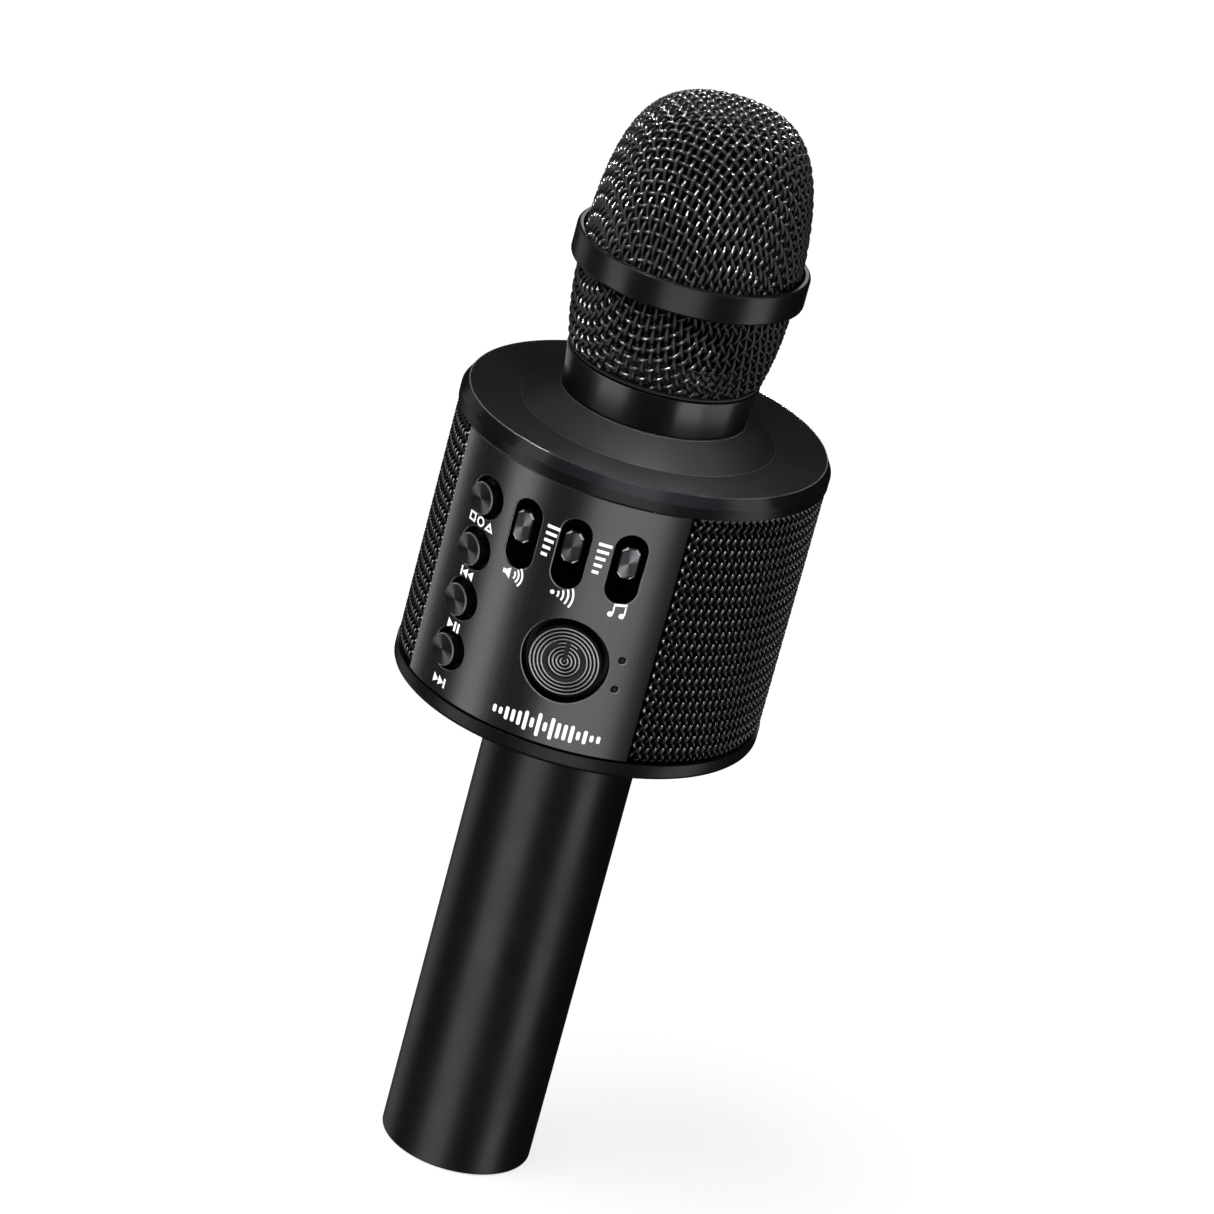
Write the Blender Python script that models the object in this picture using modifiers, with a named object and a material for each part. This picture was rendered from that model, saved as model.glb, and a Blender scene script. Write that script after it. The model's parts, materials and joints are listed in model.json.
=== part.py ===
"""Karaoke microphone: battery handle, loudspeaker barrel with a control panel, and a grille head.

The origin is the centre of the handle's flat lower end and +Z runs up the axis to the grille.
The control panel faces -Y. Angles round the barrel ("bearings") start at -Y and grow towards +X.
"""

import math

import bmesh
import bpy
from mathutils import Matrix, Vector

MM = 0.001
GAP = 0.3 * MM          # clearance kept between neighbouring pieces
MERGE = 0.01 * MM

# Heights of the main joints, from the handle's lower end
TUBE_TOP = 125.0 * MM
BARREL_BOTTOM = 115.3 * MM
SKIN_BOTTOM = 119.2 * MM      # lower edge of the panel and the mesh
SKIN_TOP = 177.7 * MM
CAP_BOTTOM = 178.0 * MM
CAP_FLAT = 187.0 * MM         # foot of the neck
NECK_TOP = 196.0 * MM
RING_BOTTOM = 216.3 * MM
RING_TOP = 223.1 * MM
DOME_TOP = 256.4 * MM

# Radii of the outside
HANDLE_RADIUS = 17.4 * MM
BARREL_RADIUS = 41.5 * MM
SKIN_RADIUS = 41.3 * MM
NECK_FOOT_RADIUS = 20.5 * MM
NECK_TOP_RADIUS = 21.6 * MM
RING_RADIUS = 25.9 * MM

# Fasteners
HANDLE_SCREW_HEIGHT = 122.0 * MM
HANDLE_SCREWS = {"left": -90.0, "right": 90.0}
HOUSING_SCREW_RADIUS = 34.8 * MM
HOUSING_SCREWS = {"left": -58.0, "right": 58.0, "rear": 180.0}
SCREW_CLEARANCE_RADIUS = 1.6 * MM

# End cap of the handle and its sockets
END_CAP_RADIUS = 15.6 * MM
END_CAP_PLATE = 2.5 * MM
END_CAP_SKIRT_TOP = 8.0 * MM
SOCKET_TOP = 5.7 * MM
USB_Y = -8.0 * MM
USB_OPENING = (8.2 * MM, 3.3 * MM)
USB_SHELL = (7.6 * MM, 2.7 * MM)
USB_MOUTH = (6.8 * MM, 1.9 * MM)
CARD_Y = 8.0 * MM
CARD_OPENING = (11.8 * MM, 1.3 * MM)
CARD_SHELL = (12.8 * MM, 2.2 * MM)
CARD_MOUTH = (11.4 * MM, 0.9 * MM)
AUDIO_X = 8.4 * MM
AUDIO_SIDE = 6.4 * MM
AUDIO_OPENING_RADIUS = 2.7 * MM
AUDIO_NOSE_RADIUS = 2.4 * MM
AUDIO_BORE_RADIUS = 1.75 * MM

# Walls
TUBE_WALL = 1.5 * MM
PANEL_WALL = 1.8 * MM
MESH_WALL = 0.6 * MM
CLOTH_RADIUS = 40.1 * MM
CLOTH_WALL = 0.5 * MM
FRAME_RADIUS = 39.2 * MM
FRAME_WALL = 1.5 * MM

# Control panel
PANEL_HALF_ANGLE = 41.5
MESH_START_ANGLE = 42.0
BUTTON_BEARING = -23.9
BUTTON_TOP_HEIGHT = 166.6 * MM
BUTTON_PITCH = 12.1 * MM
BUTTON_RADIUS = 3.6 * MM
BUTTON_HOLE_RADIUS = 4.75 * MM
BUTTON_FACE = 43.1 * MM       # distance of the face from the barrel's axis
POWER_BEARING = 15.0
POWER_HEIGHT = 139.5 * MM
POWER_RADIUS = 8.2 * MM
POWER_HOLE_RADIUS = 9.6 * MM
POWER_FACE = 41.5 * MM
SLOT_HEIGHT = 163.5 * MM
SLOT_WIDTH = 7.0 * MM
SLOT_LENGTH = 16.0 * MM
KNOB_HEIGHT = 165.5 * MM
KNOB_WIDTH = 5.0 * MM
KNOB_LENGTH = 7.6 * MM
KNOB_FACE = 42.3 * MM
SLIDERS = {"volume": -7.44, "echo": 8.82, "music": 25.88}
LIGHT_BEARING = 31.8
LIGHTS = {"upper": 142.8 * MM, "lower": 135.9 * MM}
LIGHT_HOLE_RADIUS = 0.8 * MM
CUTTER_LOW = 34.0 * MM        # panel cutters reach from here to CUTTER_HIGH, measured from the axis
CUTTER_HIGH = 44.0 * MM
STEM_BEHIND_KNOB = 40.2 * MM  # how far out a slider's stem reaches, inside its knob
BUTTONS = ("mode", "previous", "play", "next")

# Boards behind the panel: distance of each front face from the axis
BOARD_BEARING = 9.2
BOARD_FACE = 29.0 * MM
BOARD_THICKNESS = 1.6 * MM
BOARD_LOW = 124.0 * MM
BOARD_HIGH = 174.5 * MM
BOARD_LEFT = -14.4 * MM
BOARD_RIGHT = 21.5 * MM
BUTTON_BOARD_FACE = 33.6 * MM
BUTTON_BOARD_SIZE = (8.0 * MM, 47.0 * MM, 1.2 * MM)
LEAD_STAND_OFF = 0.8 * MM     # from a lead's end to the back of the board

# Loudspeaker drivers
DRIVER_BEARING = 105.0
DRIVER_HEIGHT = 0.5 * (SKIN_BOTTOM + SKIN_TOP)
DRIVER_SEAT = 30.0 * MM       # distance of the seat's inner face from the axis
DRIVER_HOLE_RADIUS = 20.2 * MM
DRIVERS = {"left": -DRIVER_BEARING, "right": DRIVER_BEARING}

# Standard 18650 cell
CELL_RADIUS = 9.2 * MM
CELL_BOTTOM = 17.5 * MM
CELL_LENGTH = 65.0 * MM

# Facets on round pieces
BARREL_STEPS = 48
HANDLE_STEPS = 28
HEAD_STEPS = 30
SMALL_STEPS = 14
SHARP_ANGLE = math.radians(32)

LOOKS = {
    # name: colour, roughness, metallic
    "handle_black": ((0.012, 0.013, 0.015), 0.38, 0.0),
    "housing_black": ((0.014, 0.015, 0.017), 0.42, 0.0),
    "panel_charcoal": ((0.030, 0.031, 0.032), 0.34, 0.3),
    "mesh_black": ((0.008, 0.008, 0.009), 0.40, 0.8),
    "cap_satin": ((0.022, 0.023, 0.026), 0.36, 0.1),
    "button_metal": ((0.090, 0.090, 0.094), 0.30, 0.9),
    "ring_black": ((0.012, 0.012, 0.014), 0.28, 0.4),
    "inner_plastic": ((0.020, 0.020, 0.021), 0.60, 0.0),
    "board_green": ((0.010, 0.080, 0.035), 0.45, 0.0),
    "steel": ((0.550, 0.560, 0.580), 0.28, 1.0),
    "cell_wrap": ((0.020, 0.110, 0.380), 0.35, 0.0),
    "cloth_black": ((0.006, 0.006, 0.006), 0.95, 0.0),
    "foam_black": ((0.010, 0.010, 0.010), 0.98, 0.0),
    "rubber_black": ((0.010, 0.010, 0.010), 0.80, 0.0),
    "cone_paper": ((0.030, 0.030, 0.032), 0.85, 0.0),
    "light_pipe": ((0.080, 0.085, 0.090), 0.20, 0.0),
    "lead_red": ((0.300, 0.015, 0.012), 0.50, 0.0),
}


# ---------------------------------------------------------------- scene helpers


def clear_scene():
    for obj in list(bpy.data.objects):
        bpy.data.objects.remove(obj)


def new_collection(name):
    collection = bpy.data.collections.new(name)
    bpy.context.scene.collection.children.link(collection)
    return collection


def make_look(name):
    colour, roughness, metallic = LOOKS[name]
    look = bpy.data.materials.new(name)
    look.use_nodes = True
    shader = look.node_tree.nodes["Principled BSDF"]
    shader.inputs["Base Color"].default_value = (*colour, 1.0)
    shader.inputs["Roughness"].default_value = roughness
    shader.inputs["Metallic"].default_value = metallic
    look.diffuse_color = (*colour, 1.0)
    return look


def place(name, mesh, look=None, frame=Matrix.Identity(4)):
    """Add a mesh to the microphone, or to the cutters when it has no look."""
    obj = bpy.data.objects.new(name, mesh)
    obj.matrix_world = frame
    if look is None:
        cutters.objects.link(obj)
        obj.hide_render = True
        obj.display_type = "WIRE"
    else:
        microphone.objects.link(obj)
        mesh.materials.append(looks[look])
    return obj


def outward(bearing, height=0.0, distance=0.0):
    """A frame on the barrel: local X along the skin, local Y up, local Z away from the axis."""
    turn = Matrix.Rotation(math.radians(bearing), 4, "Z") @ Matrix.Rotation(math.pi / 2, 4, "X")
    return Matrix.Translation((0, 0, height)) @ turn @ Matrix.Translation((0, 0, distance))


def upright(bearing):
    """A frame on the axis whose local X points along the bearing."""
    return Matrix.Rotation(math.radians(bearing - 90.0), 4, "Z")


# ---------------------------------------------------------------- shape helpers


def arc(centre_r, centre_z, radius, start, end, steps=3):
    """Points of a round edge in an outline, angles in degrees from +r towards +z."""
    angles = [math.radians(start + (end - start) * i / steps) for i in range(steps + 1)]
    return [(centre_r + radius * math.cos(a), centre_z + radius * math.sin(a)) for a in angles]


def turned(name, outline, steps, look=None, frame=Matrix.Identity(4)):
    """Turn an outline of (radius, height) points round local Z.

    It runs down the outer side. An outline that starts on the axis also ends there, any other
    outline closes on itself.
    """
    count = len(outline)
    edges = [(i, i + 1) for i in range(count - 1)]
    if outline[0][0] > 0.0:
        edges.append((count - 1, 0))
    mesh = bpy.data.meshes.new(name)
    mesh.from_pydata([(r, 0.0, z) for r, z in outline], edges, [])
    obj = place(name, mesh, look, frame)
    turn = obj.modifiers.new("Turn", "SCREW")
    turn.steps = turn.render_steps = steps
    turn.use_merge_vertices = True
    turn.merge_threshold = MERGE
    return obj


def disc(name, radius, low, high, steps, look=None, frame=Matrix.Identity(4)):
    return turned(name, [(0, high), (radius, high), (radius, low), (0, low)], steps, look, frame)


def tube(name, outer, inner, low, high, steps, look=None, frame=Matrix.Identity(4)):
    outline = [(outer, high), (outer, low), (inner, low), (inner, high)]
    return turned(name, outline, steps, look, frame)


def slab(name, size, corner, look=None, frame=Matrix.Identity(4), corner_steps=1):
    """A block centred in local X and Y that rises from local Z = 0, its four uprights rounded."""
    body = bmesh.new()
    bmesh.ops.create_cube(body, size=1.0)
    bmesh.ops.scale(body, vec=size, verts=body.verts)
    bmesh.ops.translate(body, vec=(0, 0, size[2] / 2), verts=body.verts)
    if corner > 0.0:
        uprights = [e for e in body.edges if abs(e.verts[0].co.z - e.verts[1].co.z) > size[2] / 2]
        bmesh.ops.bevel(body, geom=uprights, offset=corner, segments=corner_steps, profile=0.5, affect="EDGES")
    mesh = bpy.data.meshes.new(name)
    body.to_mesh(mesh)
    body.free()
    return place(name, mesh, look, frame)


def skin(name, radius, wall, low, high, start, sweep, steps, look):
    """A curved sheet of the barrel: an upright line turned through the sweep, thickened inwards."""
    mesh = bpy.data.meshes.new(name)
    mesh.from_pydata([(radius, 0, high), (radius, 0, low)], [(0, 1)], [])
    obj = place(name, mesh, look, upright(start))
    turn = obj.modifiers.new("Turn", "SCREW")
    turn.angle = math.radians(sweep)
    turn.steps = turn.render_steps = steps
    turn.merge_threshold = MERGE
    wall_modifier = obj.modifiers.new("Wall", "SOLIDIFY")
    wall_modifier.thickness = wall
    wall_modifier.offset = -1.0
    return obj


def wire(name, points, radius, look):
    """A round wire through the points, made a mesh with its end caps welded on."""
    curve = bpy.data.curves.new(name, "CURVE")
    curve.dimensions = "3D"
    curve.bevel_depth = radius
    curve.bevel_resolution = 1
    curve.use_fill_caps = True
    spline = curve.splines.new("POLY")
    spline.points.add(len(points) - 1)
    for point, position in zip(spline.points, points):
        point.co = (*position, 1.0)
    guide = bpy.data.objects.new(name + "_path", curve)
    cutters.objects.link(guide)
    graph = bpy.context.evaluated_depsgraph_get()
    mesh = bpy.data.meshes.new_from_object(guide.evaluated_get(graph))
    body = bmesh.new()
    body.from_mesh(mesh)
    bmesh.ops.remove_doubles(body, verts=body.verts, dist=MERGE)
    bmesh.ops.recalc_face_normals(body, faces=body.faces)
    body.to_mesh(mesh)
    body.free()
    obj = place(name, mesh, look, guide.matrix_world)
    bpy.data.objects.remove(guide)
    return obj


def smooth_path(points, steps=3):
    """A Catmull-Rom path through the points."""
    ends = [points[0], *points, points[-1]]
    path = []
    for i in range(len(points) - 1):
        a, b, c, d = (Vector(ends[i + k]) for k in range(4))
        for step in range(steps):
            t = step / steps
            path.append(0.5 * (2 * b + (c - a) * t + (2 * a - 5 * b + 4 * c - d) * t * t
                               + (3 * b - a - 3 * c + d) * t ** 3))
    path.append(Vector(points[-1]))
    return path


def boolean(target, other, operation):
    change = target.modifiers.new(operation.title() + "_" + other.name, "BOOLEAN")
    change.operation = operation
    change.solver = "EXACT"
    change.object = other
    return target


def cut(target, *others):
    for other in others:
        boolean(target, other, "DIFFERENCE")
    return target


def join(target, *others):
    for other in others:
        boolean(target, other, "UNION")
    return target


def settle_and_smooth():
    """Fix each piece's modifiers into its mesh and shade its round faces smooth."""
    graph = bpy.context.evaluated_depsgraph_get()
    settled = {obj: bpy.data.meshes.new_from_object(obj.evaluated_get(graph)) for obj in microphone.objects}
    for obj, mesh in settled.items():
        look = obj.data.materials[0]
        obj.modifiers.clear()
        obj.data = mesh
        mesh.name = obj.name
        mesh.materials.clear()
        mesh.materials.append(look)
        mesh.shade_smooth()
        mesh.set_sharp_from_angle(angle=SHARP_ANGLE)


# ---------------------------------------------------------------- handle


def screw_holes_for_handle(target):
    radius, low, high = 1.5 * MM, 10.0 * MM, 24.0 * MM
    for side, bearing in HANDLE_SCREWS.items():
        at = outward(bearing, HANDLE_SCREW_HEIGHT)
        cut(target, disc(f"{target.name}_hole_{side}", radius, low, high, 10, None, at))


def build_handle_tube():
    edge = 0.35 * MM
    outline = [(HANDLE_RADIUS, TUBE_TOP)]
    outline += arc(HANDLE_RADIUS - edge, edge, edge, 0, -90, 2)
    outline += [(HANDLE_RADIUS - TUBE_WALL, 0), (HANDLE_RADIUS - TUBE_WALL, TUBE_TOP)]
    screw_holes_for_handle(turned("handle_tube", outline, HANDLE_STEPS, "handle_black"))


def build_end_cap():
    skirt = END_CAP_RADIUS - 1.5 * MM
    outline = [(0, END_CAP_PLATE), (skirt, END_CAP_PLATE), (skirt, END_CAP_SKIRT_TOP),
               (END_CAP_RADIUS, END_CAP_SKIRT_TOP), (END_CAP_RADIUS, 0), (0, 0)]
    below = Matrix.Translation((0, 0, -MM))
    depth = END_CAP_PLATE + 2 * MM
    usb = slab("end_cap_usb_hole", (*USB_OPENING, depth), 0.8 * MM, None,
               below @ Matrix.Translation((0, USB_Y, 0)))
    card = slab("end_cap_card_hole", (*CARD_OPENING, depth), 0, None,
                below @ Matrix.Translation((0, CARD_Y, 0)))
    audio = disc("end_cap_audio_hole", AUDIO_OPENING_RADIUS, -MM, END_CAP_PLATE + MM, SMALL_STEPS, None,
                 Matrix.Translation((AUDIO_X, 0, 0)))
    cut(turned("end_cap", outline, HANDLE_STEPS, "housing_black"), usb, card, audio)


def build_sockets():
    shoulder = END_CAP_PLATE + GAP
    behind = SOCKET_TOP - shoulder
    nose = 0.5 * MM
    mouth_start = Matrix.Translation((0, 0, -MM))

    usb_at = Matrix.Translation((0, USB_Y, nose))
    usb = slab("usb_socket", (*USB_SHELL, SOCKET_TOP - nose), 0.6 * MM, "steel", usb_at)
    cut(usb, slab("usb_socket_mouth", (*USB_MOUTH, 4.0 * MM), 0.4 * MM, None, usb_at @ mouth_start))

    audio_at = Matrix.Translation((AUDIO_X, 0, 0))
    audio = slab("audio_socket", (AUDIO_SIDE, AUDIO_SIDE, behind), 0, "inner_plastic",
                 audio_at @ Matrix.Translation((0, 0, shoulder)))
    nose_top = shoulder + nose
    join(audio, disc("audio_socket_nose", AUDIO_NOSE_RADIUS, nose, nose_top, SMALL_STEPS, None, audio_at))
    cut(audio, disc("audio_socket_bore", AUDIO_BORE_RADIUS, -MM, 5.0 * MM, SMALL_STEPS, None, audio_at))

    card_at = Matrix.Translation((0, CARD_Y, shoulder))
    card = slab("card_socket", (*CARD_SHELL, behind), 0, "steel", card_at)
    cut(card, slab("card_socket_mouth", (*CARD_MOUTH, 3.0 * MM), 0, None, card_at @ mouth_start))


def build_charge_board():
    radius, thickness, low = 13.7 * MM, 1.2 * MM, SOCKET_TOP + GAP
    disc("charge_board", radius, low, low + thickness, 24, "board_green")


def build_battery():
    top = CELL_BOTTOM + CELL_LENGTH
    button, rise, edge = 2.9 * MM, 1.3 * MM, 0.5 * MM
    shoulder = top - rise
    outline = [(0, top), (button, top), (button, shoulder), (CELL_RADIUS - edge, shoulder),
               (CELL_RADIUS, shoulder - edge), (CELL_RADIUS, CELL_BOTTOM), (0, CELL_BOTTOM)]
    turned("battery_cell", outline, 24, "cell_wrap")

    low, high, wall, outer = 10.0 * MM, 85.5 * MM, 2.0 * MM, 11.2 * MM
    cradle = disc("battery_cradle", outer, low, high, 24, "inner_plastic")
    bore = disc("battery_cradle_bore", CELL_RADIUS + edge, low + wall, high - wall, 24)
    mouth_size, lip = (30 * MM, 20 * MM, high - low - 2 * wall), 3.0 * MM
    mouth = slab("battery_cradle_mouth", mouth_size, 0, None,
                 Matrix.Translation((0, lip + mouth_size[1] / 2, low + wall)))
    cut(cradle, bore, mouth)

    wire_radius, coil_radius, turns, around = 0.4 * MM, 4.5 * MM, 3, 8
    start, end = low + wall + GAP + wire_radius, CELL_BOTTOM - GAP - wire_radius
    points = []
    for i in range(turns * around + 1):
        share = i / (turns * around)
        angle = 2 * math.pi * i / around
        height = start + share * (end - start)
        points.append((coil_radius * math.cos(angle), coil_radius * math.sin(angle), height))
    wire("battery_spring", points, wire_radius, "steel")


def behind_board(height):
    """Where a lead ends on the back of the main board."""
    return outward(BOARD_BEARING, height, BOARD_FACE - BOARD_THICKNESS - LEAD_STAND_OFF).translation


def build_battery_lead():
    board_height, beside_cell, radius = 129 * MM, 12.7 * MM, 0.9 * MM
    path = [(0, beside_cell, 7.7 * MM), (0, beside_cell, 60 * MM), (0, beside_cell, 116 * MM),
            (0, 9 * MM, 126.5 * MM), (1.5 * MM, -8 * MM, board_height), behind_board(board_height)]
    wire("battery_lead", smooth_path(path), radius, "lead_red")


def build_handle_screws():
    head, shank, high, under_head, tip = 2.2 * MM, 1.2 * MM, 22.4 * MM, 20.9 * MM, 14.2 * MM
    outline = [(0, high), (head, high), (head, under_head), (shank, under_head), (shank, tip), (0, tip)]
    for side, bearing in HANDLE_SCREWS.items():
        turned(f"handle_screw_{side}", outline, 12, "steel", outward(bearing, HANDLE_SCREW_HEIGHT))


# ---------------------------------------------------------------- barrel shell

def beside_axis(bearing, distance):
    return Matrix.Translation(outward(bearing, 0.0, distance).translation)


def build_lower_housing():
    edge = 0.9 * MM
    plate_top = BARREL_BOTTOM + 2.4 * MM
    bore, collar, ledge = HANDLE_RADIUS + GAP, 20.6 * MM, 37.2 * MM
    collar_top = TUBE_TOP + MM
    rim_top = SKIN_BOTTOM - GAP
    outline = [(BARREL_RADIUS, rim_top)]
    outline += arc(BARREL_RADIUS - edge, BARREL_BOTTOM + edge, edge, 0, -90, 3)
    outline += [(bore, BARREL_BOTTOM), (bore, collar_top), (collar, collar_top), (collar, plate_top),
                (ledge, plate_top), (ledge, rim_top)]
    housing = turned("lower_housing", outline, BARREL_STEPS, "housing_black")
    screw_holes_for_handle(housing)

    recess, recess_floor, hole = 2.7 * MM, BARREL_BOTTOM + 1.5 * MM, SCREW_CLEARANCE_RADIUS
    hole_outline = [
        (0, plate_top + MM), (hole, plate_top + MM), (hole, recess_floor), (recess, recess_floor),
        (recess, BARREL_BOTTOM - MM), (0, BARREL_BOTTOM - MM),
    ]
    head, shank, tip = 2.4 * MM, 1.3 * MM, 126.0 * MM
    head_low, head_high = BARREL_BOTTOM + 0.2 * MM, BARREL_BOTTOM + 1.2 * MM
    screw_outline = [(0, tip), (shank, tip), (shank, head_high),
                     (head, head_high), (head, head_low), (0, head_low)]
    for side, bearing in HOUSING_SCREWS.items():
        at = beside_axis(bearing, HOUSING_SCREW_RADIUS)
        cut(housing, turned(f"housing_hole_{side}", hole_outline, 12, None, at))
        turned(f"housing_screw_{side}", screw_outline, 12, "steel", at)


def build_body_frame():
    inner = FRAME_RADIUS - FRAME_WALL
    frame = tube("body_frame", FRAME_RADIUS, inner, SKIN_BOTTOM, SKIN_TOP, BARREL_STEPS, "inner_plastic")
    window_size = (50.0 * MM, 52.5 * MM, 20.0 * MM)
    window = slab("frame_window", window_size, 2 * MM, None, outward(0, 148.25 * MM, 24 * MM))
    half_step = Matrix.Rotation(math.pi / BARREL_STEPS, 4, "Z")
    mid_wall = FRAME_RADIUS - FRAME_WALL / 2
    limit = disc("seat_limit", mid_wall, SKIN_BOTTOM + MM, SKIN_TOP - MM, BARREL_STEPS, None, half_step)
    openings = [window]
    seat_wall, seat_steps = 2.8 * MM, 28
    quarter_facet = Matrix.Rotation(math.radians(5), 4, "Z")
    for side, bearing in DRIVERS.items():
        at = outward(bearing, DRIVER_HEIGHT)
        seat = tube(f"frame_seat_{side}", DRIVER_HOLE_RADIUS + seat_wall, DRIVER_HOLE_RADIUS - MM,
                    DRIVER_SEAT, BARREL_RADIUS, seat_steps, None, at)
        join(frame, boolean(seat, limit, "INTERSECT"))
        openings.append(disc(f"frame_opening_{side}", DRIVER_HOLE_RADIUS, DRIVER_SEAT - 10 * MM, CUTTER_HIGH,
                             seat_steps, None, at @ quarter_facet))
    boss, boss_low, boss_high = 3.4 * MM, SKIN_BOTTOM + 0.6 * MM, 129.0 * MM
    pilot_low, pilot_high = 118.0 * MM, 127.0 * MM
    for side, bearing in HOUSING_SCREWS.items():
        at = beside_axis(bearing, HOUSING_SCREW_RADIUS)
        join(frame, disc(f"frame_boss_{side}", boss, boss_low, boss_high, 14, None, at @ half_step))
        openings.append(disc(f"frame_pilot_{side}", SCREW_CLEARANCE_RADIUS, pilot_low, pilot_high,
                             11, None, at))
    cut(frame, *openings)


def build_skins():
    sweep, steps = 360 - 2 * MESH_START_ANGLE, 44
    for name, radius, wall, look in (
        ("speaker_mesh", SKIN_RADIUS, MESH_WALL, "mesh_black"),
        ("dust_cloth", CLOTH_RADIUS, CLOTH_WALL, "cloth_black"),
    ):
        skin(name, radius, wall, SKIN_BOTTOM, SKIN_TOP, MESH_START_ANGLE, sweep, steps, look)


def slot_cutter(name, bearing, width, length):
    size = (width, length, CUTTER_HIGH - CUTTER_LOW)
    return slab(name, size, width / 2 - MERGE, None, outward(bearing, SLOT_HEIGHT, CUTTER_LOW), 5)


def build_control_panel():
    panel = skin("control_panel", SKIN_RADIUS, PANEL_WALL, SKIN_BOTTOM, SKIN_TOP,
                 -PANEL_HALF_ANGLE, 2 * PANEL_HALF_ANGLE, 18, "panel_charcoal")
    for index, name in enumerate(BUTTONS):
        at = outward(BUTTON_BEARING, BUTTON_TOP_HEIGHT - index * BUTTON_PITCH)
        cut(panel, disc(f"panel_hole_{name}", BUTTON_HOLE_RADIUS, CUTTER_LOW, CUTTER_HIGH, 18, None, at))
    power_at = outward(POWER_BEARING, POWER_HEIGHT)
    cut(panel, disc("panel_hole_power", POWER_HOLE_RADIUS, CUTTER_LOW, CUTTER_HIGH, 28, None, power_at))
    for name, bearing in SLIDERS.items():
        cut(panel, slot_cutter(f"panel_slot_{name}", bearing, SLOT_WIDTH, SLOT_LENGTH))
    for name, height in LIGHTS.items():
        at = outward(LIGHT_BEARING, height)
        cut(panel, disc(f"panel_pinhole_{name}", LIGHT_HOLE_RADIUS, CUTTER_LOW, CUTTER_HIGH, 10, None, at))


def build_top_cap():
    wall, neck_hole = 1.8 * MM, 18.5 * MM
    cone_foot, cone_foot_height = 28.5 * MM, 182.3 * MM
    flat_edge, flat_edge_height = 40.2 * MM, 182.9 * MM
    chamfer_height = 180.4 * MM
    lip_outer, lip_inner, lip_low = 37.3 * MM, 35.8 * MM, CAP_BOTTOM - 3 * MM
    slack = 0.4 * MM
    outline = [
        (neck_hole, CAP_FLAT), (NECK_FOOT_RADIUS, CAP_FLAT), (cone_foot, cone_foot_height),
        (flat_edge, flat_edge_height), (BARREL_RADIUS, chamfer_height), (BARREL_RADIUS, CAP_BOTTOM),
        (lip_outer, CAP_BOTTOM), (lip_outer, lip_low), (lip_inner, lip_low),
        (lip_inner, flat_edge_height - slack - wall), (cone_foot - slack, cone_foot_height - slack - wall),
        (NECK_FOOT_RADIUS - slack, CAP_FLAT - wall), (neck_hole, CAP_FLAT - wall),
    ]
    turned("top_cap", outline, BARREL_STEPS, "cap_satin")


# ---------------------------------------------------------------- controls


def tact_switch(name, frame, side):
    """A switch body with its plunger, standing on a board whose face is the frame's plane."""
    height, plunger, plunger_top = 1.6 * MM, 1.1 * MM, 2.3 * MM
    body = slab(name, (side, side, height), 0, "inner_plastic", frame @ Matrix.Translation((0, 0, GAP)))
    join(body, disc(f"{name}_plunger", plunger, height / 2, plunger_top, 10, None, frame))


def cap_outline(radius, face, flange, flange_high, flange_low, stem, stem_low):
    """A button: chamfered head, flange that keeps it behind the panel, and stem that meets its switch."""
    chamfer = 0.4 * MM
    corners = [(0, face), (radius - chamfer, face), (radius, face - chamfer), (radius, flange_high),
               (flange, flange_high), (flange, flange_low),
               (stem, flange_low), (stem, stem_low), (0, stem_low)]
    return [(r, z - face) for r, z in corners]


def build_buttons():
    outline = cap_outline(BUTTON_RADIUS, BUTTON_FACE, 5.3 * MM, 38.8 * MM, 38.0 * MM, 1.6 * MM, 36.7 * MM)
    for index, name in enumerate(BUTTONS):
        height = BUTTON_TOP_HEIGHT - index * BUTTON_PITCH
        turned(f"{name}_button", outline, SMALL_STEPS, "button_metal",
               outward(BUTTON_BEARING, height, BUTTON_FACE))
        tact_switch(f"{name}_switch", outward(BUTTON_BEARING, height, BUTTON_BOARD_FACE), 4.5 * MM)


def build_power_button():
    outline = cap_outline(POWER_RADIUS, POWER_FACE, 10.4 * MM, 37.7 * MM, 36.9 * MM, 2.0 * MM, 33.4 * MM)
    turned("power_button", outline, 24, "button_metal", outward(POWER_BEARING, POWER_HEIGHT, POWER_FACE))
    side = board_side(POWER_BEARING, 34.5 * MM)
    at = outward(BOARD_BEARING, POWER_HEIGHT, BOARD_FACE) @ Matrix.Translation((side, 0, 0))
    tact_switch("power_switch", at, 6.0 * MM)


def board_side(bearing, distance=40.0 * MM):
    """How far across the main board a control at this bearing sits."""
    return distance * math.sin(math.radians(bearing - BOARD_BEARING))


def build_sliders():
    shield_radius, shield_wall, shield_low, shield_high = 39.1 * MM, 0.6 * MM, 152.0 * MM, 174.0 * MM
    shield = skin("light_shield", shield_radius, shield_wall, shield_low, shield_high,
                  -14, 47.5, 9, "cloth_black")
    for name, bearing in SLIDERS.items():
        at = outward(BOARD_BEARING) @ Matrix.Translation((board_side(bearing), 0, 0))
        build_knob(name, bearing, at)
        slit_size, slit_low = (2.4 * MM, 12.4 * MM, 7.1 * MM), 35.0 * MM
        cut(shield, slab(f"shield_slit_{name}", slit_size, 0, None,
                         at @ Matrix.Translation((0, SLOT_HEIGHT, slit_low))))
        build_potentiometer(name, at)


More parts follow.
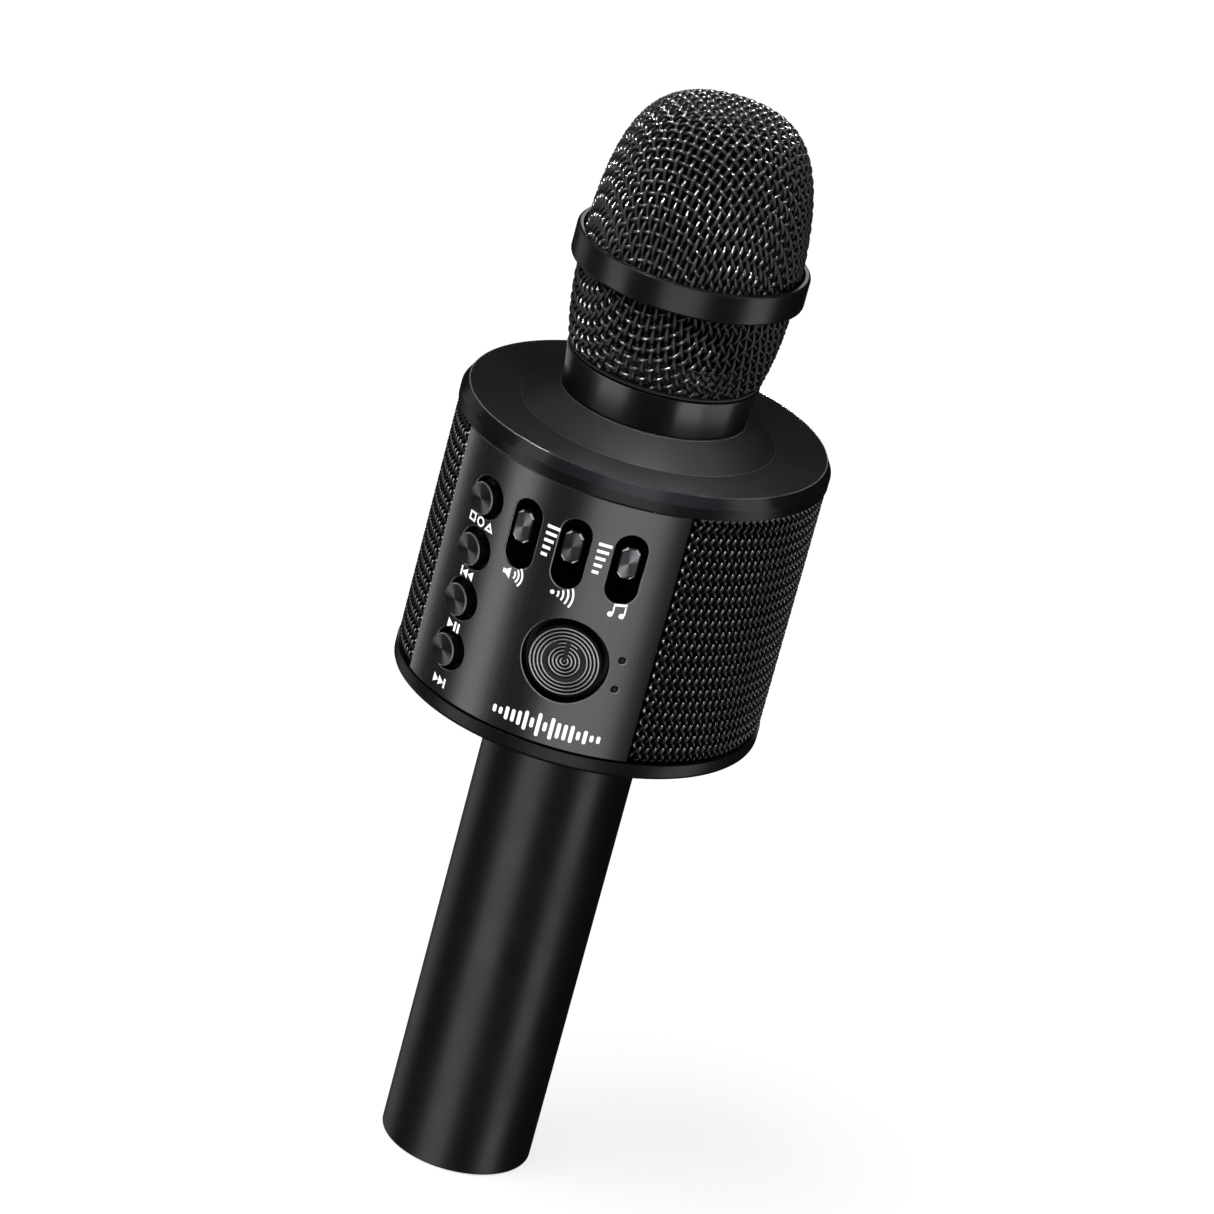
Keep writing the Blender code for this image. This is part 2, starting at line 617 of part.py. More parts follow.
def build_knob(name, bearing, stem_at):
    """A knob square to the skin on a stem square to the board, in one piece."""
    foot, corner = 39.4 * MM, 1.6 * MM
    stem_width, stem_length, stem_low = 1.5 * MM, 2.4 * MM, 31.8 * MM
    knob = slab(f"{name}_knob", (KNOB_WIDTH, KNOB_LENGTH, KNOB_FACE - foot), corner, "button_metal",
                outward(bearing, KNOB_HEIGHT, foot), 2)
    join(knob, slab(f"{name}_stem", (stem_width, stem_length, STEM_BEHIND_KNOB - stem_low), 0, None,
                    stem_at @ Matrix.Translation((0, KNOB_HEIGHT, stem_low))))


def build_potentiometer(name, at):
    low, high, floor = BOARD_FACE + GAP, 33.3 * MM, 31.3 * MM
    width, length, groove_width, groove_length = 5.2 * MM, 20.0 * MM, 2.2 * MM, 12.8 * MM
    pot = slab(f"{name}_potentiometer", (width, length, high - low), 0, "steel",
               at @ Matrix.Translation((0, SLOT_HEIGHT, low)))
    cut(pot, slab(f"{name}_groove", (groove_width, groove_length, 2 * (high - floor)), 0, None,
                  at @ Matrix.Translation((0, SLOT_HEIGHT, floor))))


def build_boards():
    size = (BOARD_RIGHT - BOARD_LEFT, BOARD_HIGH - BOARD_LOW, BOARD_THICKNESS)
    at = outward(BOARD_BEARING, 0.5 * (BOARD_HIGH + BOARD_LOW), BOARD_FACE - BOARD_THICKNESS)
    to_middle = Matrix.Translation((0.5 * (BOARD_LEFT + BOARD_RIGHT), 0, 0))
    slab("main_board", size, MM, "board_green", at @ to_middle)
    middle_height = BUTTON_TOP_HEIGHT - 0.5 * (len(BUTTONS) - 1) * BUTTON_PITCH
    slab("button_board", BUTTON_BOARD_SIZE, 0.5 * MM, "board_green",
         outward(BUTTON_BEARING, middle_height, BUTTON_BOARD_FACE - BUTTON_BOARD_SIZE[2]))


def build_light_pipes():
    radius, flange = 0.5 * MM, 1.2 * MM
    tip, flange_high, flange_low, foot = 41.1 * MM, 38.7 * MM, 38.0 * MM, 33.5 * MM
    outline = [(0, tip), (radius, tip), (radius, flange_high), (flange, flange_high), (flange, flange_low),
               (radius, flange_low), (radius, foot), (0, foot)]
    for name, height in LIGHTS.items():
        turned(f"light_pipe_{name}", outline, 10, "light_pipe", outward(LIGHT_BEARING, height))


# ---------------------------------------------------------------- loudspeakers


def build_drivers():
    """Outlines are in millimetres: radius from the driver's own axis, distance from the barrel's axis."""
    chassis = [(22.5, 29.7), (22.5, 28.4), (19.6, 28.4), (12.6, 19.6), (12.6, 18.9),
               (4.5, 18.9), (4.5, 20.1), (11.4, 20.1), (18.2, 28.6), (18.2, 29.7)]
    cone = [(0, 25.6), (5.5, 24.4), (14.8, 28.7), (16.3, 29.5), (17.8, 29.1), (17.8, 28.7),
            (16.3, 28.9), (15.0, 28.0), (6.0, 23.7), (6.0, 20.6), (5.3, 20.6), (5.3, 23.7), (0, 24.9)]
    magnet = [(0, 18.6), (12.0, 18.6), (12.0, 12.9), (0, 12.9)]
    for side, bearing in DRIVERS.items():
        at = outward(bearing, DRIVER_HEIGHT)
        for piece, outline, steps, look in (
            ("chassis", chassis, 16, "steel"),
            ("cone", cone, 14, "cone_paper"),
            ("magnet", magnet, 16, "steel"),
        ):
            turned(f"speaker_{piece}_{side}", [(r * MM, z * MM) for r, z in outline], steps, look, at)


# ---------------------------------------------------------------- neck and capsule


def build_neck():
    spigot, spigot_top = 19.0 * MM, NECK_TOP + 6 * MM
    below_cap, shelf, flare_height = 180.6 * MM, 189.7 * MM, 191.5 * MM
    flare = 0.4 * NECK_TOP_RADIUS + 0.6 * NECK_FOOT_RADIUS
    sleeve, bore, seat = 18.2 * MM, 14.5 * MM, 16.5 * MM
    outline = [
        (spigot, spigot_top), (spigot, NECK_TOP), (NECK_TOP_RADIUS, NECK_TOP), (flare, flare_height),
        (NECK_FOOT_RADIUS, CAP_FLAT + GAP), (sleeve, CAP_FLAT + GAP), (sleeve, below_cap),
        (bore, below_cap), (bore, shelf), (seat, shelf), (seat, spigot_top),
    ]
    turned("neck", outline, HEAD_STEPS, "cap_satin")
    nut_radius, nut_low, nut_high = 21.0 * MM, 181.4 * MM, 184.2 * MM
    tube("neck_nut", nut_radius, sleeve + 0.35 * MM, nut_low, nut_high, 24, "inner_plastic")


def build_capsule():
    plate_low, plate_high, tube_radius, bore = 190.0 * MM, 192.0 * MM, 5.0 * MM, 3.4 * MM
    table_low, table_high, table_radius, plate_radius = 212.0 * MM, 213.4 * MM, 10.0 * MM, 16.1 * MM
    turned("capsule_post", [
        (table_radius, table_high), (table_radius, table_low),
        (tube_radius, table_low), (tube_radius, plate_high),
        (plate_radius, plate_high), (plate_radius, plate_low), (bore, plate_low), (bore, table_high),
    ], 20, "inner_plastic")

    cup_radius, cup_top, cup_low, cup_floor = 13.2 * MM, 224.0 * MM, table_high + GAP, 215.2 * MM
    lead_hole, cup_bore = 2.4 * MM, 11.8 * MM
    turned("capsule_mount", [
        (cup_radius, cup_top), (cup_radius, cup_low), (lead_hole, cup_low),
        (lead_hole, cup_floor), (cup_bore, cup_floor), (cup_bore, cup_top),
    ], 24, "rubber_black")

    radius, edge, low, high = 11.4 * MM, 1.2 * MM, 215.6 * MM, 229.0 * MM
    turned("microphone_capsule", [
        (0, high), (radius - edge, high), (radius, high - edge), (radius, low), (0, low),
    ], 24, "steel")

    lead_radius, board_height = 0.8 * MM, 168.0 * MM
    path = [(0, 0, 214.7 * MM), (0, 0, 200 * MM), (0, 0, 186 * MM), (1 * MM, -6 * MM, 177 * MM),
            (2.5 * MM, -17 * MM, 171 * MM), behind_board(board_height)]
    wire("capsule_lead", smooth_path(path), lead_radius, "rubber_black")


# ---------------------------------------------------------------- grille head


def dome_radius(height):
    """Outer radius of the dome: a squared-off ellipse."""
    middle, power, widest = 202.42 * MM, 3.453, 24.27 * MM
    share = min(1.0, (height - middle) / (DOME_TOP - middle))
    return widest * (1.0 - share ** power) ** (1.0 / power)


def basket_radius(height):
    """Outer radius of the slightly bulging lower grille."""
    low, high, bulge = 21.41 * MM, 23.85 * MM, 0.72 * MM
    t = (height - NECK_TOP) / (RING_BOTTOM - NECK_TOP)
    return low + (high - low) * t + 4 * bulge * t * (1 - t)


def dome_heights(low, inset, steps):
    """Heights from the axis down to the rim, closer together near the apex."""
    span = DOME_TOP - inset - low
    return [low + span * math.sin(math.pi / 2 * (1 - i / steps)) for i in range(steps + 1)]


def dome_shell(name, low, outer_inset, inner_inset, steps, look):
    outside = [(max(0.0, dome_radius(z + outer_inset) - outer_inset), z)
               for z in dome_heights(low, outer_inset, steps)]
    inside = [(max(0.0, dome_radius(z + inner_inset) - inner_inset), z)
              for z in dome_heights(low, inner_inset, steps)]
    outside[0] = (0, outside[0][1])
    inside[0] = (0, inside[0][1])
    turned(name, outside + inside[::-1], HEAD_STEPS, look)


def build_head():
    bore = 19.35 * MM
    seal_radius, seal_low, seal_high = 21.2 * MM, NECK_TOP + 0.2 * MM, NECK_TOP + 0.8 * MM
    collar_radius, collar_low, collar_high = 20.3 * MM, seal_high + GAP, seal_high + GAP + 6 * MM
    tube("sealing_ring", seal_radius, bore, seal_low, seal_high, HEAD_STEPS, "rubber_black")
    tube("head_collar", collar_radius, bore, collar_low, collar_high, HEAD_STEPS, "ring_black")

    wall, rows = 0.8 * MM, 4
    rim, rim_top = 23.8 * MM, RING_BOTTOM + 2.9 * MM
    heights = [collar_low + (RING_BOTTOM - collar_low) * i / rows for i in range(rows + 1)]
    outside = [(basket_radius(z), z) for z in heights]
    outline = [(rim, rim_top)] + outside[::-1]
    outline += [(r - wall, z) for r, z in outside] + [(rim - wall, rim_top)]
    turned("lower_grille", outline, HEAD_STEPS, "mesh_black")

    edge, inner = 0.8 * MM, 24.5 * MM
    outline = [(inner, RING_TOP), (RING_RADIUS - edge, RING_TOP), (RING_RADIUS, RING_TOP - edge),
               (RING_RADIUS, RING_BOTTOM + edge), (RING_RADIUS - edge, RING_BOTTOM), (inner, RING_BOTTOM)]
    turned("grille_ring", outline, HEAD_STEPS, "ring_black")

    dome_low, foam_low, foam_gap, foam_inside = rim_top + 0.4 * MM, RING_TOP + MM, 0.5 * MM, 4.8 * MM
    dome_shell("upper_grille", dome_low, 0.0, wall, 8, "mesh_black")
    dome_shell("foam_filter", foam_low, wall + foam_gap, foam_inside, 6, "foam_black")


clear_scene()
microphone = new_collection("karaoke_microphone")
cutters = new_collection("cutters")
looks = {name: make_look(name) for name in LOOKS}

build_handle_tube()
build_end_cap()
build_sockets()
build_charge_board()
build_battery()
build_battery_lead()
build_handle_screws()
build_lower_housing()
build_body_frame()
build_skins()
build_control_panel()
build_top_cap()
build_buttons()
build_power_button()
build_sliders()
build_boards()
build_light_pipes()
build_drivers()
build_neck()
build_capsule()
build_head()
settle_and_smooth()
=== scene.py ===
"""Looks of the karaoke microphone: fine surfaces, woven wire, print and materials.

Everything is in metres in the CAD's own frame: +Z up the axis, the control panel facing -Y.
A bearing is an angle round the axis in degrees that starts at -Y and grows towards +X.
"""

import json
from math import atan2, cos, degrees, hypot, pi, radians, sin, sqrt, tan, tau

import bmesh
import bpy
import numpy as np
from mathutils import Matrix, Vector

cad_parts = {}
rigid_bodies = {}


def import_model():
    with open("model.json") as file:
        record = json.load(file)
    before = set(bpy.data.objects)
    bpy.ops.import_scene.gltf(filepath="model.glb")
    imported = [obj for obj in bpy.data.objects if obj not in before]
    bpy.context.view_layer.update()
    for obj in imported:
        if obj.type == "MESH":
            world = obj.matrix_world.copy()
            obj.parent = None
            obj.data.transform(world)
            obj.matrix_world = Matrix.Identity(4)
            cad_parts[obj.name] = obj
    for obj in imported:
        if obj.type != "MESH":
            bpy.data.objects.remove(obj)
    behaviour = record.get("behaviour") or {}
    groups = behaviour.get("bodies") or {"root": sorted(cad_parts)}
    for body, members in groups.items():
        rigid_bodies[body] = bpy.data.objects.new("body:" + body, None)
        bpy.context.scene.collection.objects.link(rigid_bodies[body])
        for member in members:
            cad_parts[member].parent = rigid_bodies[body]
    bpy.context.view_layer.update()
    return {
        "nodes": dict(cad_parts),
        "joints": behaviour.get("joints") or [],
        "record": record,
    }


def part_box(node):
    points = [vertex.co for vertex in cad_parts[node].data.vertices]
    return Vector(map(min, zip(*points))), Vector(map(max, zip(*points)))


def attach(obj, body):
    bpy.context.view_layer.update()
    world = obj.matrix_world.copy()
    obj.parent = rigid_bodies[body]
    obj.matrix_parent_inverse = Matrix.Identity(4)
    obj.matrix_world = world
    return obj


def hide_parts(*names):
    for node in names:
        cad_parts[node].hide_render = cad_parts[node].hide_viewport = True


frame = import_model()

MM = 0.001
IDENTITY = Matrix.Identity(4)
WHITE = (1.0, 1.0, 1.0, 1.0)
SCREW_SIDES = ("left", "right", "rear")


def mm(*lengths):
    return [length * MM for length in lengths]


def low_z(node):
    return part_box(node)[0].z


def high_z(node):
    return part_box(node)[1].z


def middle(node, axis=2):
    """Middle of a node's box along an axis."""
    low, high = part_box(node)
    return 0.5 * (low[axis] + high[axis])


def radius_of(node):
    """Outer radius of a node that is round about the microphone's axis."""
    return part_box(node)[1].x


def joint_bearing(name):
    """Bearing of a button, whose joint points inwards."""
    axis = next(joint["axis"] for joint in frame["joints"] if joint["name"] == name)
    return degrees(atan2(-axis[0], axis[1]))


# Driving dimensions, read from the frame
HANDLE_RADIUS = radius_of("handle_tube")
TUBE_TOP = high_z("handle_tube")
BARREL_RADIUS = radius_of("lower_housing")
BARREL_BOTTOM = low_z("lower_housing")
SKIN_LOW, SKIN_HIGH = low_z("control_panel"), high_z("control_panel")
SKIN_RADIUS = BARREL_RADIUS - 0.2 * MM
CAP_BOTTOM = SKIN_HIGH + 0.3 * MM
NECK_TOP = low_z("sealing_ring") - 0.2 * MM
SPIGOT_TOP = high_z("neck")
RING_LOW, RING_HIGH = low_z("grille_ring"), high_z("grille_ring")
RING_RADIUS = radius_of("grille_ring")
DOME_TOP = high_z("upper_grille")
BUTTON_BEARING = joint_bearing("mode_press")
POWER_BEARING = joint_bearing("power_press")
BUTTON_HEIGHTS = {name: middle(f"{name}_button") for name in ("mode", "previous", "play", "next")}
POWER_HEIGHT = middle("power_button")
KNOB_HEIGHT = middle("volume_knob")
SLOT_HEIGHT = middle("volume_potentiometer")
LIGHT_HEIGHTS = [middle("light_pipe_upper"), middle("light_pipe_lower")]

# The control panel
PANEL_HALF_ANGLE = 41.5
PANEL_WALL, PANEL_EDGE = mm(1.8, 0.32)
BUTTON_RADIUS, BUTTON_HOLE_RADIUS, BUTTON_FACE = mm(3.6, 4.75, 43.1)
POWER_RADIUS, POWER_HOLE_RADIUS, POWER_FACE = mm(8.2, 9.6, 41.5)
POWER_RINGS = 9.5
POWER_RING_PITCH = (POWER_RADIUS - 0.3 * MM) / POWER_RINGS
SLOT_WIDTH, SLOT_LENGTH = mm(7.0, 16.0)
KNOB_WIDTH, KNOB_LENGTH, KNOB_FACE, KNOB_FOOT = mm(4.4, 7.5, 42.3, 39.4)
SLIDER_BEARINGS = {"volume": -7.44, "echo": 8.82, "music": 25.88}
LIGHT_BEARING, LIGHT_HOLE_RADIUS = 31.8, 0.70 * MM

# Woven wire
GRILLE_PITCH, GRILLE_WIRE, GRILLE_WAVE, GRILLE_STEP = mm(2.0, 0.455, 0.44, 0.36)
DOME_MIDDLE, DOME_WIDEST = mm(202.42, 24.27)
DOME_POWER = 3.453
CLOTH_ACROSS, CLOTH_ROW, CLOTH_WIRE = mm(1.87, 1.40, 0.37)
CLOTH_STEPS = 5
CLOTH_START_ANGLE = 42.0

# The room that the microphone sees: radiance below, above, and where it darkens
DARK_BEARING = 168.0
ROOM_BELOW, ROOM_DARK, ROOM_ABOVE, ROOM_BEHIND, ROOM_TOP = 0.05, 0.012, 0.14, 0.03, 0.26

# Tall soft strips round the microphone, set per group of pieces: bearing, half width, radiance
STRIP_DISTANCE = 1.5
STRIP_HEIGHT = 2.8
STRIPS = {
    "handle": [(-9, 20, 1.75), (78, 13, 1.50), (-108, 20, 0.36)],
    "neck": [(-33, 20, 2.10), (69, 17, 1.85), (108, 20, 1.00), (-134, 15, 0.36)],
    "panel": [(-44, 9.5, 1.70), (26, 24, 1.20), (-106, 9, 1.35)],
    "cloth": [(-45, 11, 1.00), (76, 11, 1.40), (200, 9, 2.60)],
    "barrel": [(-48, 11, 1.55), (22, 20, 1.30), (-106, 12, 0.30), (100, 13, 1.50)],
    "grille": [(-48, 11, 0.80), (22, 20, 1.30), (100, 13, 1.50)],
    "rear": [(200, 9, 1.30)],
}
# How the names of each group's pieces start. Pieces of no group belong to the barrel.
GROUPS = {
    "handle": ("handle_sleeve", "end_cap"),
    "grille": ("dome_", "basket_"),
    "neck": ("neck_tube", "neck_thread", "seal", "collar"),
    "panel": ("control_panel", "print_", "mode_", "previous_", "play_", "next_", "power_",
              "volume_", "echo_", "music_"),
    "cloth": ("speaker_warp", "speaker_weft"),
}
NOT_LIT_FROM_BEHIND = ("floor", "barrel_cap", "cap_edge", "neck_tube", "speaker_")
# Lamps: group, bearing, elevation, distance, side, light received at the microphone
LAMPS = [
    ("grille", -75, 30, 1.2, 0.06, 2), ("grille", -25, 48, 1.2, 0.06, 11),
    ("grille", -8, 68, 1.2, 0.06, 5.5), ("grille", 78, 44, 1.2, 0.07, 0.5),
    ("grille", 205, 50, 1.2, 0.12, 1),
    ("cloth", -68, 34, 1.2, 0.10, 0.5), ("cloth", 119, -3, 1.2, 0.12, 1.2),
    ("cloth", 84, -25, 1.5, 0.60, 0.6), ("cloth", -8, 64, 1.2, 0.10, 12),
    ("line", -146, 46, 1.2, 0.05, 6), ("line", 183.5, 59, 1.2, 0.05, 1.5),
    ("barrel", 35, 80, 0.9, 0.45, 0.10), ("barrel", -30, 55, 1.2, 0.06, 0.4),
]
NEAR_CAP_BEARING, NEAR_CAP_POWER, NEAR_CAP_SIDE = 28.0, 0.045, 0.015
FLOOR_SUN, FLOOR_SUN_BEARING, FLOOR_SUN_ELEVATION, FLOOR_SUN_WIDTH = 0.60, -40.0, 65.0, 30
# The floor glows evenly as a backdrop; the print's glow is painted light, as ink gives off none.
FLOOR_GLOW, PRINT_PAINTED_GLOW = 0.78, 0.72
FLOOR_SIZE, FLOOR_DROP = 8.0, 0.0002

# The viewpoint: bearing and elevation of the camera, its roll, and the point it looks at
CAMERA_BEARING, CAMERA_ELEVATION, CAMERA_ROLL = 20.5, 22.7565, 15.1151
CAMERA_AIM_HEIGHT, CAMERA_DISTANCE = mm(133.71, 1242.75)
CAMERA_SLIDES = mm(2.605, 2.422)
CAMERA_LENS, CAMERA_SENSOR = 166.9, 36.0


# Frames and outlines


def outward(bearing, height=0.0, distance=0.0):
    """A frame on the barrel: local X along the skin, local Y up, local Z away from the axis."""
    turn = Matrix.Rotation(radians(bearing), 4, "Z") @ Matrix.Rotation(pi / 2, 4, "X")
    return Matrix.Translation((0, 0, height)) @ turn @ Matrix.Translation((0, 0, distance))


def towards(bearing, elevation=0.0):
    """The direction of a bearing, raised by an elevation."""
    turn, up = radians(bearing), radians(elevation)
    return Vector((sin(turn) * cos(up), -cos(turn) * cos(up), sin(up)))


def across(bearing):
    """How far along the skin a bearing lies from the middle of the panel."""
    return SKIN_RADIUS * radians(bearing)


def rounded(corners, steps=4):
    """An outline from (radius, height, fillet) corners, each fillet drawn as an arc."""
    outline = []
    count = len(corners)
    for i, (r, z, fillet) in enumerate(corners):
        here = Vector((r, z))
        if fillet <= 0.0:
            outline.append((r, z))
            continue
        before = (Vector(corners[i - 1][:2]) - here).normalized()
        after = (Vector(corners[(i + 1) % count][:2]) - here).normalized()
        half = before.angle(after) / 2
        centre = here + (before + after).normalized() * (fillet / sin(half))
        reach = fillet / tan(half)
        start = (here + before * reach - centre).normalized()
        end = (here + after * reach - centre).normalized()
        for step in range(steps + 1):
            outline.append(tuple(centre + start.slerp(end, step / steps) * fillet))
    return outline


# Closed loops of (x, y), in whatever unit the caller uses


def circle(x, y, radius, steps):
    angles = [tau * i / steps for i in range(steps)]
    return [(x + radius * cos(a), y + radius * sin(a)) for a in angles]


def stadium(x, y, width, length, steps):
    """An upright slot outline with round ends."""
    radius, reach = width / 2, (length - width) / 2
    points = []
    for start, centre in ((0, y + reach), (pi, y - reach)):
        for i in range(steps + 1):
            angle = start + pi * i / steps
            points.append((x + radius * cos(angle), centre + radius * sin(angle)))
    return points


def rectangle(left, bottom, right, top):
    return [(left, bottom), (right, bottom), (right, top), (left, top)]


def band(x, y, inner, outer, start, end, steps=10):
    """An arc of a ring, angles in degrees."""
    angles = [radians(start + (end - start) * i / steps) for i in range(steps + 1)]
    outside = [(x + outer * cos(a), y + outer * sin(a)) for a in angles]
    return outside + [(x + inner * cos(a), y + inner * sin(a)) for a in reversed(angles)]


# Making pieces


def add_object(name, data, at=IDENTITY):
    obj = bpy.data.objects.new(name, data)
    bpy.context.scene.collection.objects.link(obj)
    obj.matrix_world = at
    return obj


def finish_piece(obj, body, slot, looks=None, stands_for=None, sharp=30.0, weigh=False):
    """Shade a piece, give it the looks named or else its slot's, and tie it to its body."""
    mesh = obj.data
    for look in (looks or slot).split():
        mesh.materials.append(LOOKS[look])
    mesh.shade_smooth()
    if sharp:
        mesh.set_sharp_from_angle(angle=radians(sharp))
    if weigh:
        obj.modifiers.new("Weighted normals", "WEIGHTED_NORMAL").keep_sharp = True
    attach(obj, body)
    if stands_for:
        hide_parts(stands_for)
    return obj


def basic_mesh(name, make, **settings):
    """A mesh made by one of bmesh's operators."""
    mesh, body = bpy.data.meshes.new(name), bmesh.new()
    make(body, **settings)
    body.to_mesh(mesh)
    body.free()
    return mesh


def pick_looks(mesh, pick):
    """Give each face the look whose number the function picks."""
    for face in mesh.polygons:
        face.material_index = pick(face)


def evaluated_mesh(obj, name):
    graph = bpy.context.evaluated_depsgraph_get()
    mesh = bpy.data.meshes.new_from_object(obj.evaluated_get(graph))
    mesh.name = name
    return mesh


def settled_mesh(guide, name):
    """The mesh of a construction object, which is then removed."""
    mesh = evaluated_mesh(guide, name)
    bpy.data.objects.remove(guide)
    return mesh


def carve(obj, cutters):
    """Take the cutters' shapes out of an object, and drop them."""
    for cutter in cutters:
        cut = obj.modifiers.new("Cut", "BOOLEAN")
        cut.operation, cut.solver, cut.object = "DIFFERENCE", "EXACT", cutter
    bpy.context.view_layer.update()
    obj.data = evaluated_mesh(obj, obj.name)
    obj.modifiers.clear()
    for cutter in cutters:
        bpy.data.objects.remove(cutter)


def turned_mesh(name, outline, steps):
    """Turn an outline about Z. It runs down the outer side, and closes on itself off the axis."""
    count = len(outline)
    edges = [(i, i + 1) for i in range(count - 1)]
    if outline[0][0] > 0.0:
        edges.append((count - 1, 0))
    mesh = bpy.data.meshes.new(name + "_outline")
    mesh.from_pydata([(r, 0.0, z) for r, z in outline], edges, [])
    guide = add_object(name + "_guide", mesh)
    turn = guide.modifiers.new("Turn", "SCREW")
    turn.steps = turn.render_steps = steps
    turn.use_merge_vertices, turn.merge_threshold = True, 0.001 * MM
    return settled_mesh(guide, name)


def turned(name, outline, steps, body, slot, looks=None, stands_for=None, at=IDENTITY,
           sharp=30.0, pick=None):
    """A finished piece turned about its local Z."""
    obj = add_object(name, turned_mesh(name, outline, steps), at)
    if pick:
        pick_looks(obj.data, pick)
    return finish_piece(obj, body, slot, looks, stands_for, sharp, weigh=True)


def add_plate(name, loops, low, high, edge=0.0, edge_steps=1, at=IDENTITY, shape=None):
    """A plate between two heights from closed loops, holes included, its edges eased.

    The function shape works on the plate's bmesh.
    """
    curve = bpy.data.curves.new(name, "CURVE")
    curve.dimensions, curve.fill_mode = "2D", "BOTH"
    curve.extrude, curve.offset = 0.5 * (high - low) - edge, -edge
    curve.bevel_depth, curve.bevel_resolution = edge, edge_steps - 1
    for loop in loops:
        spline = curve.splines.new("POLY")
        spline.points.add(len(loop) - 1)
        spline.use_cyclic_u = True
        for point, (x, y) in zip(spline.points, loop):
            point.co = (x, y, 0, 1)
    mesh, plate = settled_mesh(add_object(name + "_guide", curve), name), bmesh.new()
    plate.from_mesh(mesh)
    bmesh.ops.remove_doubles(plate, verts=plate.verts, dist=0.002 * MM)
    bmesh.ops.recalc_face_normals(plate, faces=plate.faces)
    bmesh.ops.translate(plate, verts=plate.verts, vec=(0, 0, 0.5 * (high + low)))
    if shape:
        shape(plate)
    plate.to_mesh(mesh)
    plate.free()
    return add_object(name, mesh, at)


def bend_round_barrel(plate, step):
    """Cut a plate into narrow strips and wrap it round the axis: x becomes arc length, y height."""
    xs = [v.co.x for v in plate.verts]
    left, width = min(xs), max(xs) - min(xs)
    cuts = int(width / step)
    for i in range(1, cuts + 1):
        geometry = plate.verts[:] + plate.edges[:] + plate.faces[:]
        bmesh.ops.bisect_plane(plate, geom=geometry, plane_co=(left + width * i / (cuts + 1), 0, 0),
                               plane_no=(1, 0, 0), dist=1e-7)
    for vert in plate.verts:
        s, height, distance = vert.co
        angle = s / SKIN_RADIUS
        vert.co = (distance * sin(angle), -distance * cos(angle), height)


def radial_normals(mesh):
    """Make the outer face of the skin shade as a true cylinder."""
    normals = np.zeros(len(mesh.loops) * 3, np.float32)
    mesh.loops.foreach_get("normal", normals)
    normals = normals.reshape(-1, 3)
    for face in mesh.polygons:
        corners = [mesh.vertices[i].co for i in face.vertices]
        if all(abs(hypot(c.x, c.y) - SKIN_RADIUS) < 0.01 * MM for c in corners):
            for loop, corner in zip(face.loop_indices, corners):
                normals[loop] = (corner.x / SKIN_RADIUS, corner.y / SKIN_RADIUS, 0.0)
    mesh.normals_split_custom_set(normals.tolist())


# Material nodes

LOOKS = {}
MIX_A, MIX_B, MIX_RESULT = 6, 7, 2  # the colour sockets of a Mix node


def feed(tree, node, inputs):
    """Fill a node's inputs, each from a value or from the output that feeds it."""
    for key, value in inputs.items():
        if isinstance(value, bpy.types.NodeSocket):
            tree.links.new(value, node.inputs[key])
        else:
            node.inputs[key].default_value = value


def add_node(tree, kind, inputs=None, **settings):
    node = tree.nodes.new("ShaderNode" + kind)
    for key, value in settings.items():
        setattr(node, key, value)
    feed(tree, node, inputs or {})
    return node


